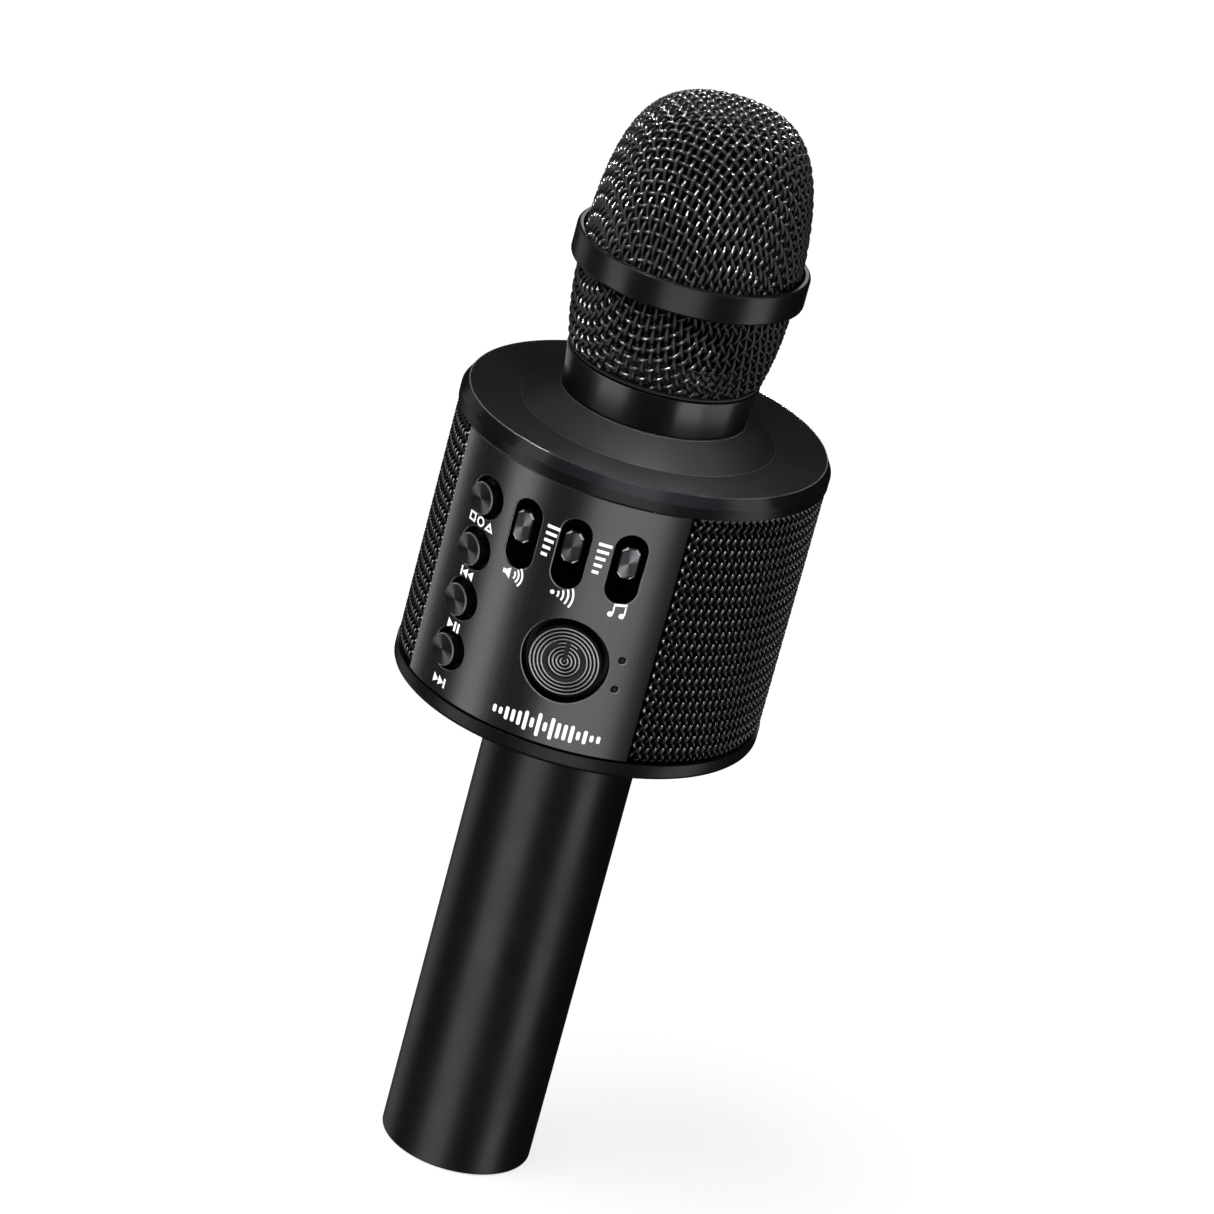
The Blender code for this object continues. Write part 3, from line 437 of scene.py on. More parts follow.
class Look:
    """A node material, kept in LOOKS by its name, with short helpers for its patterns."""

    def __init__(self, name, colour, roughness, metallic=0.0, **inputs):
        self.material = LOOKS[name] = bpy.data.materials.new("look_" + name)
        self.material.use_nodes = True
        self.material.diffuse_color = (*colour, 1.0)
        self.tree = self.material.node_tree
        self.colour, self.roughness = colour, roughness
        self.feed(Base_Color=(*colour, 1.0), Roughness=roughness, Metallic=metallic, **inputs)
        self.place = add_node(self.tree, "TexCoord").outputs["Object"]

    def feed(self, **inputs):
        """Set or link inputs of the shader, spaces in their names written as underscores."""
        shader = self.tree.nodes["Principled BSDF"]
        feed(self.tree, shader, {key.replace("_", " "): inputs[key] for key in inputs})

    def glow(self, strength):
        """Give off an even white light that isn't sampled as a lamp."""
        self.feed(Emission_Color=WHITE, Emission_Strength=strength)
        self.material.cycles.emission_sampling = "NONE"

    def noise(self, scale, detail=2.0, stretch=(1, 1, 1)):
        """Noise whose grain is 1 / scale metres long, stretched along the axes."""
        spread = add_node(self.tree, "Mapping", {"Vector": self.place, "Scale": stretch})
        return add_node(self.tree, "TexNoise", {
            "Vector": spread.outputs["Vector"], "Scale": scale, "Detail": detail}).outputs["Fac"]

    def ranged(self, value, low, high, from_low=0.3, from_high=0.7):
        return add_node(self.tree, "MapRange", {
            "Value": value, "From Min": from_low, "From Max": from_high,
            "To Min": low, "To Max": high}).outputs["Result"]

    def math(self, operation, first, second=0.5):
        return add_node(self.tree, "Math", {0: first, 1: second}, operation=operation).outputs[0]

    def mix(self, factor, dark, light):
        colours = {MIX_A: (*dark, 1.0), MIX_B: (*light, 1.0)}
        mix = add_node(self.tree, "Mix", {"Factor": factor, **colours}, data_type="RGBA")
        return mix.outputs[MIX_RESULT]

    def bump(self, height, depth, strength=0.35):
        """Raise the surface by a pattern."""
        self.feed(Normal=add_node(self.tree, "Bump", {
            "Height": height, "Distance": depth, "Strength": strength}).outputs["Normal"])

    def vary(self, scale=60.0, colour=0.25, roughness=0.05):
        """Soft cloudy variation of colour and roughness, as on a handled surface."""
        cloud = self.noise(scale, 3.0)
        dark = tuple(c * (1 - colour) for c in self.colour)
        light = tuple(c * (1 + colour) for c in self.colour)
        middle, swing = self.roughness, roughness
        self.feed(Base_Color=self.mix(self.ranged(cloud, 0, 1), dark, light),
                  Roughness=self.ranged(cloud, middle + swing, middle - swing))

    def lathe(self, wave, pitch, peak):
        """Rings about local Z, and a swing that peaks at an angle and across from it, used to place
        painted highlights.
        """
        parts = add_node(self.tree, "SeparateXYZ", {"Vector": self.place}).outputs
        x, y = parts["X"], parts["Y"]
        squares = [self.math("MULTIPLY", side, side) for side in (x, y)]
        distance = self.math("SQRT", self.math("ADD", *squares))
        ring = self.math(wave, self.math("MULTIPLY", distance, tau / pitch))
        angle = self.math("SUBTRACT", self.math("ARCTAN2", y, x), radians(peak))
        return ring, self.math("COSINE", self.math("MULTIPLY", angle, 2.0))


def plain_look(name, colour, roughness, grain, depth, ior=1.5, specular=0.5):
    """A moulded or painted surface: cloudy variation and a fine grain."""
    look = Look(name, colour, roughness, IOR=ior, Specular_IOR_Level=specular)
    look.vary()
    look.bump(look.noise(grain), depth * MM)


def spun_metal(name, dark, light, peak):
    """Metal faced on a lathe: fine rings, and two bright wedges of painted highlight in its colour,
    where the light would cross the rings.
    """
    roughness = 0.30
    look = Look(name, dark, roughness, 0.9, Anisotropic=0.6)
    ring, swing = look.lathe("SINE", 0.16 * MM, peak)
    # Painted highlight: the colour is lightened in two opposite wedges about the peak angle.
    painted_highlight_wedge = look.math("POWER", look.ranged(swing, 0.0, 1.0, -0.1, 1.0), 1.6)
    groove = look.math("ADD", ring, look.noise(9000.0, 1.0))
    tone = look.math("MULTIPLY", painted_highlight_wedge, look.ranged(groove, 0.75, 1.0, -1.0, 1.6))
    tangent = add_node(look.tree, "Tangent", direction_type="RADIAL", axis="Z")
    look.feed(Base_Color=look.mix(tone, dark, light), Tangent=tangent.outputs["Tangent"],
              Roughness=look.ranged(ring, roughness - 0.05, roughness + 0.07, -1.0, 1.0))
    look.bump(ring, 0.004 * MM, 0.5)


def ringed_metal():
    """The power button: painted highlights as bright lathe rings on the crests of its grooves,
    black between them, lighter about one bearing and across from it.
    """
    look = Look("power_face", (0.12, 0.12, 0.13), 0.30, 0.95)
    wave, swing = look.lathe("COSINE", POWER_RING_PITCH, 200)
    # Painted highlight: bright colour on the crests of the grooves, black in the hollows, lighter
    # about one bearing and across from it.
    crest = look.ranged(wave, 0.0, 1.0, -0.15, 0.75)
    tone = look.math("MULTIPLY", crest, look.ranged(swing, 0.55, 1.0, -1.0, 1.0))
    tone = look.math("MULTIPLY", tone, look.ranged(look.noise(5000.0), 0.75, 1.0))
    look.feed(Base_Color=look.mix(tone, (0.006, 0.006, 0.006), (0.62, 0.62, 0.66)),
              Roughness=look.ranged(crest, 0.45, 0.26, 0.0, 1.0))


def panel_look():
    """Anodised metal: fine upright streaks and a slightly cloudy tone."""
    look = Look("panel_charcoal", (0.105, 0.105, 0.107), 0.27, 1.0)
    streak = look.noise(1500.0, 3.0, (1.0, 1.0, 0.06))
    tone = look.math("ADD", look.math("MULTIPLY", streak, 0.6),
                     look.math("MULTIPLY", look.noise(70.0), 0.4))
    look.feed(Roughness=look.ranged(streak, 0.268, 0.282), Base_Color=look.mix(
        look.ranged(tone, 0, 1), (0.103, 0.103, 0.105), (0.111, 0.111, 0.113)))
    look.bump(look.noise(3500.0), 0.003 * MM, 0.30)


def print_look():
    """White ink: slightly cloudy, with a painted glow of its own so that it reads bright in a dim
    room.
    """
    look = Look("print", (0.86, 0.86, 0.86), 0.55)
    look.vary(900.0, 0.04, 0.04)
    # Painted light: the ink glows though it is no lamp.
    look.glow(PRINT_PAINTED_GLOW)
    look.bump(look.noise(6000.0), 0.004 * MM)


def woven_look(name, colour, roughness, ior=1.5):
    """Lacquered wire: a thin uneven coat over black metal."""
    look = Look(name, colour, roughness, IOR=ior)
    cloud = look.noise(500.0, 1.0)
    look.feed(Roughness=look.ranged(cloud, roughness + 0.07, roughness - 0.07))


def brushed_look(name, colour, roughness):
    """Bare metal with fine streaks across its length."""
    look = Look(name, colour, roughness, 1.0)
    streaks = look.noise(900.0, 3.0, (1, 1, 30))
    dark = tuple(c * 0.8 for c in colour)
    look.feed(Roughness=look.ranged(streaks, roughness - 0.08, roughness + 0.12),
              Base_Color=look.mix(look.ranged(streaks, 0, 1), dark, colour))


def board_look():
    """Circuit board: copper tracks under green varnish."""
    look = Look("board_green", (0.01, 0.08, 0.03), 0.32)
    tracks = add_node(look.tree, "TexBrick", {
        "Vector": look.place, "Scale": 420.0, "Color1": (0.008, 0.060, 0.024, 1),
        "Color2": (0.010, 0.085, 0.034, 1), "Mortar": (0.030, 0.170, 0.060, 1)})
    look.feed(Base_Color=tracks.outputs["Color"])


# Moulded and painted surfaces: colour, roughness, grain, its depth in mm, IOR, specular level
PLAIN_LOOKS = {
    "handle_black": ((0.004, 0.0041, 0.0048), 0.36, 4000, 0.005),
    "housing_black": ((0.0042, 0.0043, 0.0048), 0.32, 3000, 0.01, 1.41),
    "cap_satin": ((0.012, 0.0123, 0.0134), 0.38, 3000, 0.006, 1.45),
    "cap_gloss": ((0.005, 0.005, 0.0064), 0.18, 1500, 0.002, 1.36),
    "cap_wall": ((0.0034, 0.0034, 0.004), 0.28, 3000, 0.006, 1.38),
    # Painted highlight: a pale colour for the edges of the cap's chamfer and cone, and for the
    # bead.
    "cap_line": ((0.06, 0.06, 0.062), 0.22, 3000, 0.002, 1.6),
    "neck": ((0.003, 0.003, 0.0031), 0.24, 3000, 0.004, 1.62),
    "ring_black": ((0.004, 0.0041, 0.0048), 0.28, 3000, 0.004),
    "button_metal": ((0.0014, 0.0014, 0.0015), 0.45, 2500, 0.002, 1.3),
    # Painted highlight: a light colour for the rim round each button's face.
    "button_edge": ((0.2, 0.2, 0.208), 0.25, 2500, 0.002, 1.7),
    # Painted highlight: a near-white colour for the corners of each knob's eased edge.
    "knob_edge": ((0.8, 0.8, 0.82), 0.2, 2500, 0.002, 1.9),
    "sign": ((0.0015, 0.0015, 0.0015), 0.5, 2500, 0.002),
    "inner_plastic": ((0.002, 0.002, 0.0021), 0.7, 1500, 0.02, 1.5, 0.1),
    "rubber_black": ((0.008, 0.008, 0.008), 0.75, 2500, 0.02),
    "cloth_black": ((0.0008, 0.0008, 0.0008), 0.95, 1800, 0.1, 1.5, 0.02),
    "foam_black": ((0.0012, 0.0012, 0.0013), 0.95, 1400, 0.35, 1.5, 0.05),
    "cone_paper": ((0.03, 0.03, 0.032), 0.85, 1200, 0.05),
    "cell_wrap": ((0.02, 0.11, 0.38), 0.35, 800, 0.02),
    "light_pipe": ((0.0012, 0.0012, 0.0014), 0.55, 1500, 0.004),
    "lead_red": ((0.3, 0.015, 0.012), 0.5, 1500, 0.01),
}
for look_name, look_row in PLAIN_LOOKS.items():
    plain_look(look_name, *look_row)
woven_look("mesh_black", (0.005, 0.005, 0.0054), 0.18)
woven_look("cloth_wire", (0.0034, 0.0034, 0.0036), 0.38, 1.45)
# Painted highlight: a pale colour for the glints where the speaker cloth folds in.
woven_look("cloth_edge", (0.24, 0.24, 0.244), 0.25)
spun_metal("button_face", (0.045, 0.045, 0.048), (0.34, 0.342, 0.356), 150)
spun_metal("knob_face", (0.045, 0.045, 0.049), (0.26, 0.262, 0.276), 60)
brushed_look("panel_edge", (0.26, 0.26, 0.264), 0.3)
brushed_look("steel", (0.55, 0.56, 0.58), 0.3)
brushed_look("screw", (0.06, 0.06, 0.064), 0.35)
# Painted shade: dark steel for the potentiometers, so that the slots read black inside.
brushed_look("shell", (0.01, 0.01, 0.011), 0.45)
ringed_metal()
panel_look()
print_look()
board_look()


def dress_cad_nodes():
    """Every CAD node takes its slot's look, save the potentiometers, whose dark steel look is
    painted shade for the slots. Those with a finer piece are hidden afterwards.
    """
    for row in frame["record"]["subparts"]:
        name = row["node"]
        # Painted shade: the potentiometers seen through the slots are darkened.
        look = "shell" if name.endswith("_potentiometer") else row["material_slot"]
        mesh = frame["nodes"][name].data
        mesh.materials.clear()
        mesh.materials.append(LOOKS[look])


# Handle and barrel shell


def build_handle():
    edge, inner_edge, wall = mm(0.45, 0.15, 1.5)
    outline = rounded([
        (HANDLE_RADIUS, TUBE_TOP, 0), (HANDLE_RADIUS, 0, edge),
        (HANDLE_RADIUS - wall, 0, inner_edge), (HANDLE_RADIUS - wall, TUBE_TOP, 0),
    ], 5)
    turned("handle_sleeve", outline, 128, "root", "handle_black", stands_for="handle_tube")


def at_screw(side, height):
    """The place at a height on the axis of a housing screw."""
    node = f"housing_screw_{side}"
    return Matrix.Translation((middle(node, 0), middle(node, 1), height))


def build_lower_rim():
    """The housing under the panel and the mesh, with its handle socket and screw recesses."""
    socket, inner, collar_gap, edge, rim_edge = mm(20.6, 37.2, 0.3, 0.3, 0.15)
    collar, collar_top = HANDLE_RADIUS + collar_gap, high_z("lower_housing")
    plate_top, rim_top = BARREL_BOTTOM + 2.4 * MM, SKIN_LOW - 0.3 * MM
    outline = rounded([
        (BARREL_RADIUS, rim_top, rim_edge), (BARREL_RADIUS, BARREL_BOTTOM, 1.1 * MM),
        (collar, BARREL_BOTTOM, 0.25 * MM), (collar, collar_top, 0), (socket, collar_top, edge),
        (socket, plate_top, edge), (inner, plate_top, edge), (inner, rim_top, rim_edge),
    ], 5)
    rim = add_object("lower_rim", turned_mesh("lower_rim", outline, 192))
    recess, recess_depth, clearance = mm(2.7, 1.5, 1.6)
    shoulder, below, above = BARREL_BOTTOM + recess_depth, BARREL_BOTTOM - MM, plate_top + MM
    hole = [(0, above), (clearance, above), (clearance, shoulder), (recess, shoulder),
            (recess, below), (0, below)]
    carve(rim, [add_object("recess", turned_mesh("recess", hole, 40), at_screw(side, 0))
                for side in SCREW_SIDES])
    finish_piece(rim, "root", "housing_black", None, "lower_housing", weigh=True)


def build_screws():
    """Pan-head screws with a cross recess, their heads facing down out of the rim."""
    head, head_height, shank, edge, under_edge, tip = mm(2.4, 1.3, 1.15, 0.45, 0.1, 0.3)
    cross_length, cross_width, cross_depth = mm(2.5, 0.62, 0.8)
    pitch, thread_depth, runout = mm(0.5, 0.1, 0.4)
    for side in SCREW_SIDES:
        node = f"housing_screw_{side}"
        length = high_z(node) - low_z(node)
        outline = [(0, length), (shank - tip, length)]
        for i in range(int((length - head_height - MM) / pitch)):
            top = length - runout - i * pitch
            outline += [(shank, top), (shank - thread_depth, top - 0.5 * pitch)]
        outline += rounded([(shank, head_height, 0), (head, head_height, under_edge),
                            (head, 0, edge), (0, 0, 0)], 5)
        at = at_screw(side, low_z(node))
        screw = add_object(f"rim_screw_{side}", turned_mesh(f"rim_screw_{side}", outline, 32), at)
        bar = basic_mesh("cross", bmesh.ops.create_cube, size=1.0, matrix=Matrix.Diagonal(
            (cross_length, cross_width, 2 * cross_depth, 1)))
        carve(screw, [add_object("cross", bar, at @ Matrix.Rotation(radians(turn), 4, "Z"))
                      for turn in (25.0, 115.0)])
        finish_piece(screw, "root", "steel", "screw", node, sharp=35)


def build_top_cap():
    """The cap with its raised cone, and a thin turned bead along the chamfer's upper edge, coloured
    as a painted highlight line.
    """
    neck_hole, cone_head, cone_foot, rim = mm(18.5, 20.5, 28.5, 40.1)
    cone_top, cone_bottom, rim_top, chamfer_bottom = mm(187.0, 182.3, 182.75, 180.4)
    skirt, skirt_inner, wall, edge, slant = mm(37.3, 35.8, 1.8, 0.10, 0.4)
    skirt_bottom = CAP_BOTTOM - 3 * MM
    under_foot, under_bottom, under_rim = mm(28.0, 182.0, 182.5)
    corners = [
        (neck_hole, cone_top, edge), (cone_head + slant, cone_top, 0.35 * MM),
        (cone_foot, cone_bottom, 0.30 * MM), (rim, rim_top, edge),
        (BARREL_RADIUS, chamfer_bottom, 0.25 * MM), (BARREL_RADIUS, CAP_BOTTOM, 0.12 * MM),
        (skirt, CAP_BOTTOM, 0), (skirt, skirt_bottom, 0), (skirt_inner, skirt_bottom, 0),
        (skirt_inner, under_rim - wall, 0), (under_foot, under_bottom - wall, 0),
        (cone_head - slant, cone_top - wall, 0), (neck_hole, cone_top - wall, 0),
    ]
    top, gloss, side, line = range(4)
    head_edge, near_head, near_foot, top_end = mm(0.35, 0.15, 0.06, 40.0)
    flat_slope, line_slope, gloss_slope = 0.985, 0.55, 0.48

    def pick(face):
        """Satin top, glossy chamfer, black wall, and a painted highlight line along each edge of
        the chamfer and at the foot and head of the cone.
        """
        reach, slope = hypot(face.center.x, face.center.y), face.normal.z
        if abs(reach - cone_foot) < near_foot or abs(reach - cone_head - head_edge) < near_head:
            return line
        if reach < top_end or slope > flat_slope:
            return top
        if slope < gloss_slope:
            return side
        return gloss if slope < line_slope else line

    turned("barrel_cap", rounded(corners), 192, "root", "cap_satin",
           "cap_satin cap_gloss cap_wall cap_line", "top_cap", pick=pick)
    bead, bead_radius, bead_height = mm(0.16, 40.06, 182.64)
    turned("cap_edge_bead", circle(bead_radius, bead_height, bead, 12)[::-1], 192, "root",
           "cap_satin", "cap_line", sharp=0)


def build_neck():
    spigot, foot, top, flat, shelf = mm(19.0, 20.5, 21.6, 187.3, 189.7)
    clamped, bore, wide_bore, belly = mm(18.2, 14.5, 16.5, 191.5)
    corners = [
        (spigot, SPIGOT_TOP, 0.4 * MM), (spigot, NECK_TOP, 0), (top, NECK_TOP, 0.28 * MM),
        (0.4 * top + 0.6 * foot, belly, 0), (foot, flat, 0.2 * MM), (clamped, flat, 0),
        (clamped, low_z("neck"), 0), (bore, low_z("neck"), 0), (bore, shelf, 0),
        (wide_bore, shelf, 0), (wide_bore, SPIGOT_TOP, 0.3 * MM),
    ]
    turned("neck_tube", rounded(corners), 128, "root", "cap_satin", "neck", "neck")
    build_thread(spigot)


def build_thread(spigot):
    """A two-start ridge wound round the spigot, seen when the head is off."""
    around, rows, starts = 96, 40, 2
    pitch, depth, runout, lift, sunk = mm(3.0, 0.22, 0.5, 0.02, 0.3)
    low, high = NECK_TOP + 1.2 * MM, SPIGOT_TOP - 0.8 * MM
    angle, height = np.meshgrid(np.arange(around) / around * tau, np.linspace(low, high, rows))
    wave = np.cos(starts * (tau * height / pitch - angle))
    fade = np.minimum(1, np.minimum(height - low, high - height) / runout)
    outer = spigot + lift + depth * fade * np.clip(0.5 + wave, 0, 1)
    radius = np.vstack([outer, np.full_like(outer, spigot - sunk)])
    angle, height = np.vstack([angle, angle]), np.vstack([height, height[::-1]])
    points = np.stack([radius * np.cos(angle), radius * np.sin(angle), height], -1)
    index = np.arange(radius.size).reshape(radius.shape)
    right = np.roll(index, -1, axis=1)
    quads = np.stack([index, right, np.roll(right, -1, axis=0), np.roll(index, -1, axis=0)], -1)
    mesh = bpy.data.meshes.new("neck_thread")
    mesh.from_pydata(points.reshape(-1, 3).tolist(), [], quads.reshape(-1, 4).tolist())
    finish_piece(add_object("neck_thread", mesh), "root", "cap_satin", "neck", sharp=0)


def build_control_panel():
    half = across(PANEL_HALF_ANGLE)
    loops = [rectangle(-half, SKIN_LOW, half, SKIN_HIGH)]
    for height in BUTTON_HEIGHTS.values():
        loops.append(circle(across(BUTTON_BEARING), height, BUTTON_HOLE_RADIUS, 56))
    loops.append(circle(across(POWER_BEARING), POWER_HEIGHT, POWER_HOLE_RADIUS, 88))
    for bearing in SLIDER_BEARINGS.values():
        loops.append(stadium(across(bearing), SLOT_HEIGHT, SLOT_WIDTH, SLOT_LENGTH, 24))
    for height in LIGHT_HEIGHTS:
        loops.append(circle(across(LIGHT_BEARING), height, LIGHT_HOLE_RADIUS, 20))
    obj = add_plate("control_panel_skin", loops, SKIN_RADIUS - PANEL_WALL, SKIN_RADIUS, PANEL_EDGE,
                    3, shape=lambda plate: bend_round_barrel(plate, 0.7 * MM))
    half_height, border, side = 0.5 * (SKIN_HIGH - SKIN_LOW), MM, radians(41)

    def pick(face):
        """Bright metal on the eased edges of the holes, coat on everything else."""
        x, y, z = face.center
        inside = abs(z - SKIN_LOW - half_height) < half_height - border
        inside = inside and abs(atan2(x, -y)) < side
        return int(inside and 0.02 * MM < SKIN_RADIUS - hypot(x, y) < PANEL_EDGE)

    pick_looks(obj.data, pick)
    finish_piece(obj, "root", "panel_charcoal", "panel_charcoal panel_edge",
                 "control_panel", sharp=40)
    radial_normals(obj.data)


# White print


def placed(x, y, loops):
    """Loops drawn in millimetres, set about a point on the skin."""
    return [[(x + u * MM, y + v * MM) for u, v in loop] for loop in loops]


def arrow(flat, length, half):
    """An arrow from its flat side. It points left if its length is negative."""
    return [(flat, -half), (flat + length, 0), (flat, half)]


def transport():
    """Previous, play or pause, and next, under their buttons."""
    half, bar, length, end = 1.1, 0.5, 1.65, 2.0
    marks = {
        "previous": (6.15, [rectangle(-end, -half, bar - end, half),
                            arrow(0.25, -length, half), arrow(end, -length, half)]),
        "play": (6.65, [arrow(-1.9, 1.9, half), rectangle(0.3, -half, 0.9, half),
                        rectangle(1.4, -half, end, half)]),
        "next": (7.9, [arrow(-end, length, half), arrow(-0.25, length, half),
                       rectangle(end - bar, -half, end, half)]),
    }
    x = across(BUTTON_BEARING) - 0.35 * MM
    return [loop for name, (drop, loops) in marks.items()
            for loop in placed(x, BUTTON_HEIGHTS[name] - drop * MM, loops)]


def mode():
    """A square, a ring and a triangle in outline for the source modes."""
    side, stroke, radius, left, right, tip = 1.05, 0.42, 1.15, -3.9, -1.8, 2.85
    inner = side - stroke
    return placed(across(BUTTON_BEARING) - 0.1 * MM, BUTTON_HEIGHTS["mode"] - 5.75 * MM, [
        rectangle(left, -side, right, side),
        rectangle(left + stroke, -inner, right - stroke, inner),
        circle(0, 0, radius, 24), circle(0, 0, radius - stroke, 20),
        [(tip - 1.3, -side), (tip + 1.3, -side), (tip, 1.1)],
        [(tip - 0.58, -inner), (tip + 0.58, -inner), (tip, 0.14)],
    ])


def sliders():
    """A loudspeaker, spreading echoes and a pair of notes under the slots."""
    half_line = 0.22
    volume = [[(-2.9, -0.5), (-2.1, -0.5), (-1.0, -1.3), (-1.0, 1.3), (-2.1, 0.5), (-2.9, 0.5)]]
    volume += [band(-0.9, 0, r - half_line, r + half_line, -42, 42) for r in (1.2, 2.1, 3.0)]
    echo = [circle(-2.4, 0, 0.5, 14)]
    echo += [band(-2.4, 0, r - half_line, r + half_line, -28, 28, 8) for r in (1.4, 2.5, 3.6, 4.7)]
    music = []
    for x in (-1.6, 0.9):
        music += [circle(x, -1.0, 0.62, 16), rectangle(x + 0.34, -0.75, x + 0.70, 1.15)]
    music.append([(-1.26, 0.95), (1.60, 1.35), (1.60, 1.95), (-1.26, 1.55)])
    marks = []
    for name, shift, loops in (("volume", 0.3, volume), ("echo", 0.5, echo), ("music", 0.6, music)):
        x = across(SLIDER_BEARINGS[name]) + shift * MM
        marks += placed(x, SLOT_HEIGHT - 9.6 * MM, loops)
    return marks


def scales():
    """Two ladders of five bars, wider towards the top."""
    half, pitch, longest, shrink = 0.36, 1.62, 3.0, 0.38
    ladder = [rectangle(0, -half - i * pitch, longest - shrink * i, half - i * pitch)
              for i in range(5)]
    return [loop for bearing in (-0.4, 16.0)
            for loop in placed(across(bearing), 167.8 * MM, ladder)]


def waveform():
    """A plain sound wave of upright round-ended bars at the foot of the panel."""
    bars, width, shortest, swell, ripple = 17, 0.84, 1.4, 4.2, 1.35
    left, right, height = across(-2.0), across(31.0), 123.5 * MM
    marks = []
    for i in range(bars):
        x = left + (right - left) * i / (bars - 1)
        length = swell * sin(pi * (i + 0.5) / bars) * abs(cos(ripple * i))
        marks += placed(x, height, [stadium(0, 0, width, shortest + length, 6)])
    return marks


def build_print():
    low, high = (SKIN_RADIUS + height for height in mm(-0.01, 0.03))
    for draw in (transport, mode, sliders, scales, waveform):
        ink = add_plate(f"print_{draw.__name__}", draw(), low, high,
                        shape=lambda plate: bend_round_barrel(plate, 0.6 * MM))
        finish_piece(ink, "root", "panel_charcoal", "print", sharp=40)


# Buttons and knobs


def build_push_buttons():
    head, flange, stem = (height * MM - BUTTON_FACE for height in (38.8, 38.0, 36.7))
    flange_radius, stem_radius, edge, round_edge = mm(5.3, 1.6, 0.25, 0.06)
    flat, face_depth, edge_depth, edge_width = 0.97, *mm(0.1, 0.27, 0.35)
    corners = [
        (0, 0, 0), (BUTTON_RADIUS - edge, 0, round_edge), (BUTTON_RADIUS, -edge, round_edge),
        (BUTTON_RADIUS, head, 0), (flange_radius, head, 0.1 * MM), (flange_radius, flange, 0),
        (stem_radius, flange, 0), (stem_radius, stem, 0), (0, stem, 0),
    ]

    def pick(face):
        """Spun face, painted highlight on the edge round it, black below."""
        reach = hypot(face.center.x, face.center.y)
        if face.normal.z > flat and face.center.z > -face_depth:
            return 0
        return 1 if face.center.z > -edge_depth and reach > BUTTON_RADIUS - edge_width else 2

    for name, height in BUTTON_HEIGHTS.items():
        turned(f"{name}_cap", rounded(corners, 3), 64, f"{name}_button", "button_metal",
               "button_face button_edge button_metal", f"{name}_button",
               outward(BUTTON_BEARING, height, BUTTON_FACE), pick=pick)


def build_power_button():
    """A wide cap turned with concentric grooves, and a dark power sign over them."""
    per_ring, half_depth, face_depth = 8, *mm(0.07, 0.3)
    outline = [(0, 0)]
    for i in range(1, int(POWER_RINGS * per_ring) + 1):
        groove = half_depth * (cos(tau * i / per_ring) - 1)
        outline.append((i * POWER_RING_PITCH / per_ring, groove))
    top, low, stem = (height * MM - POWER_FACE for height in (37.7, 36.9, 33.4))
    flange_radius, stem_radius = mm(10.15, 2.0)
    outline += [
        (POWER_RADIUS - 0.12 * MM, -0.16 * MM), (POWER_RADIUS, -0.35 * MM), (POWER_RADIUS, top),
        (flange_radius, top), (flange_radius, low), (stem_radius, low), (stem_radius, stem),
        (0, stem),
    ]
    at = outward(POWER_BEARING, POWER_HEIGHT, POWER_FACE)
    turned("power_cap", outline, 96, "power_button", "button_metal", "power_face button_metal",
           "power_button", at, sharp=50, pick=lambda face: int(face.center.z <= -face_depth))
    loops = [band(0, 0, *mm(3.75, 4.75), 120, 420, 40), rectangle(*mm(-0.5, 0.3, 0.5, 5.0))]
    sign = add_plate("power_sign", loops, *mm(-0.16, 0.04, 0.03), at=at)
    finish_piece(sign, "power_button", "button_metal", "sign")


def build_knobs():
    """Long eight-sided caps with an eased edge, painted highlight at its four corners, each on a
    flat stem of its own.
    """
    bevel = bmesh.ops.bevel
    cut, edge, corner, face_depth = mm(1.35, 0.38, 0.40, 0.05)
    x, y = KNOB_WIDTH / 2, KNOB_LENGTH / 2
    outline = [(x - cut, -y), (x, -y + cut), (x, y - cut), (x - cut, y),
               (cut - x, y), (-x, y - cut), (-x, cut - y), (cut - x, -y)]

    def ease(plate):
        """Round the upright edges, then the edges of the face."""
        uprights = [e for e in plate.edges if abs(e.verts[0].co.z - e.verts[1].co.z) > MM]
        bevel(plate, geom=uprights, offset=corner, segments=3, profile=0.5, affect="EDGES")
        top_edges = [e for e in plate.edges if all(v.co.z > -0.01 * MM for v in e.verts) and
                     any(abs(f.normal.z) < 0.5 for f in e.link_faces)]
        bevel(plate, geom=top_edges, offset=edge, segments=2, profile=0.5, affect="EDGES")

    def pick(face):
        """Spun face, painted highlight on the edge at the four corners, black elsewhere."""
        if face.normal.z > 0.97 and face.center.z > -face_depth:
            return 0
        glint_corner = abs(face.center.x) > x - cut and abs(face.center.y) > y - cut
        return 1 if glint_corner and face.center.z > -edge and face.normal.z > 0.1 else 2

    for name, bearing in SLIDER_BEARINGS.items():
        cap = add_plate(f"{name}_slider_cap", [outline], KNOB_FOOT - KNOB_FACE, 0,
                        at=outward(bearing, KNOB_HEIGHT, KNOB_FACE), shape=ease)
        pick_looks(cap.data, pick)
        finish_piece(cap, f"{name}_knob", "button_metal", "knob_face knob_edge button_metal",
                     f"{name}_knob", weigh=True)
        build_stem(name)


def build_stem(name):
    """The blade under a knob, square to the slider board and down to its potentiometer."""
    board_bearing = 9.2
    reach, foot, top, half_width, half_height, edge = mm(40.0, 31.8, 40.2, 0.75, 1.2, 0.1)
    side = reach * sin(radians(SLIDER_BEARINGS[name] - board_bearing))
    blade = rectangle(side - half_width, KNOB_HEIGHT - half_height,
                      side + half_width, KNOB_HEIGHT + half_height)
    stem = add_plate(f"{name}_slider_stem", [blade], foot, top, edge, at=outward(board_bearing))
    # Painted shade: the stem takes the black cloth look so that it reads dark inside its slot.
    finish_piece(stem, f"{name}_knob", "button_metal", "cloth_black")


# Woven wire


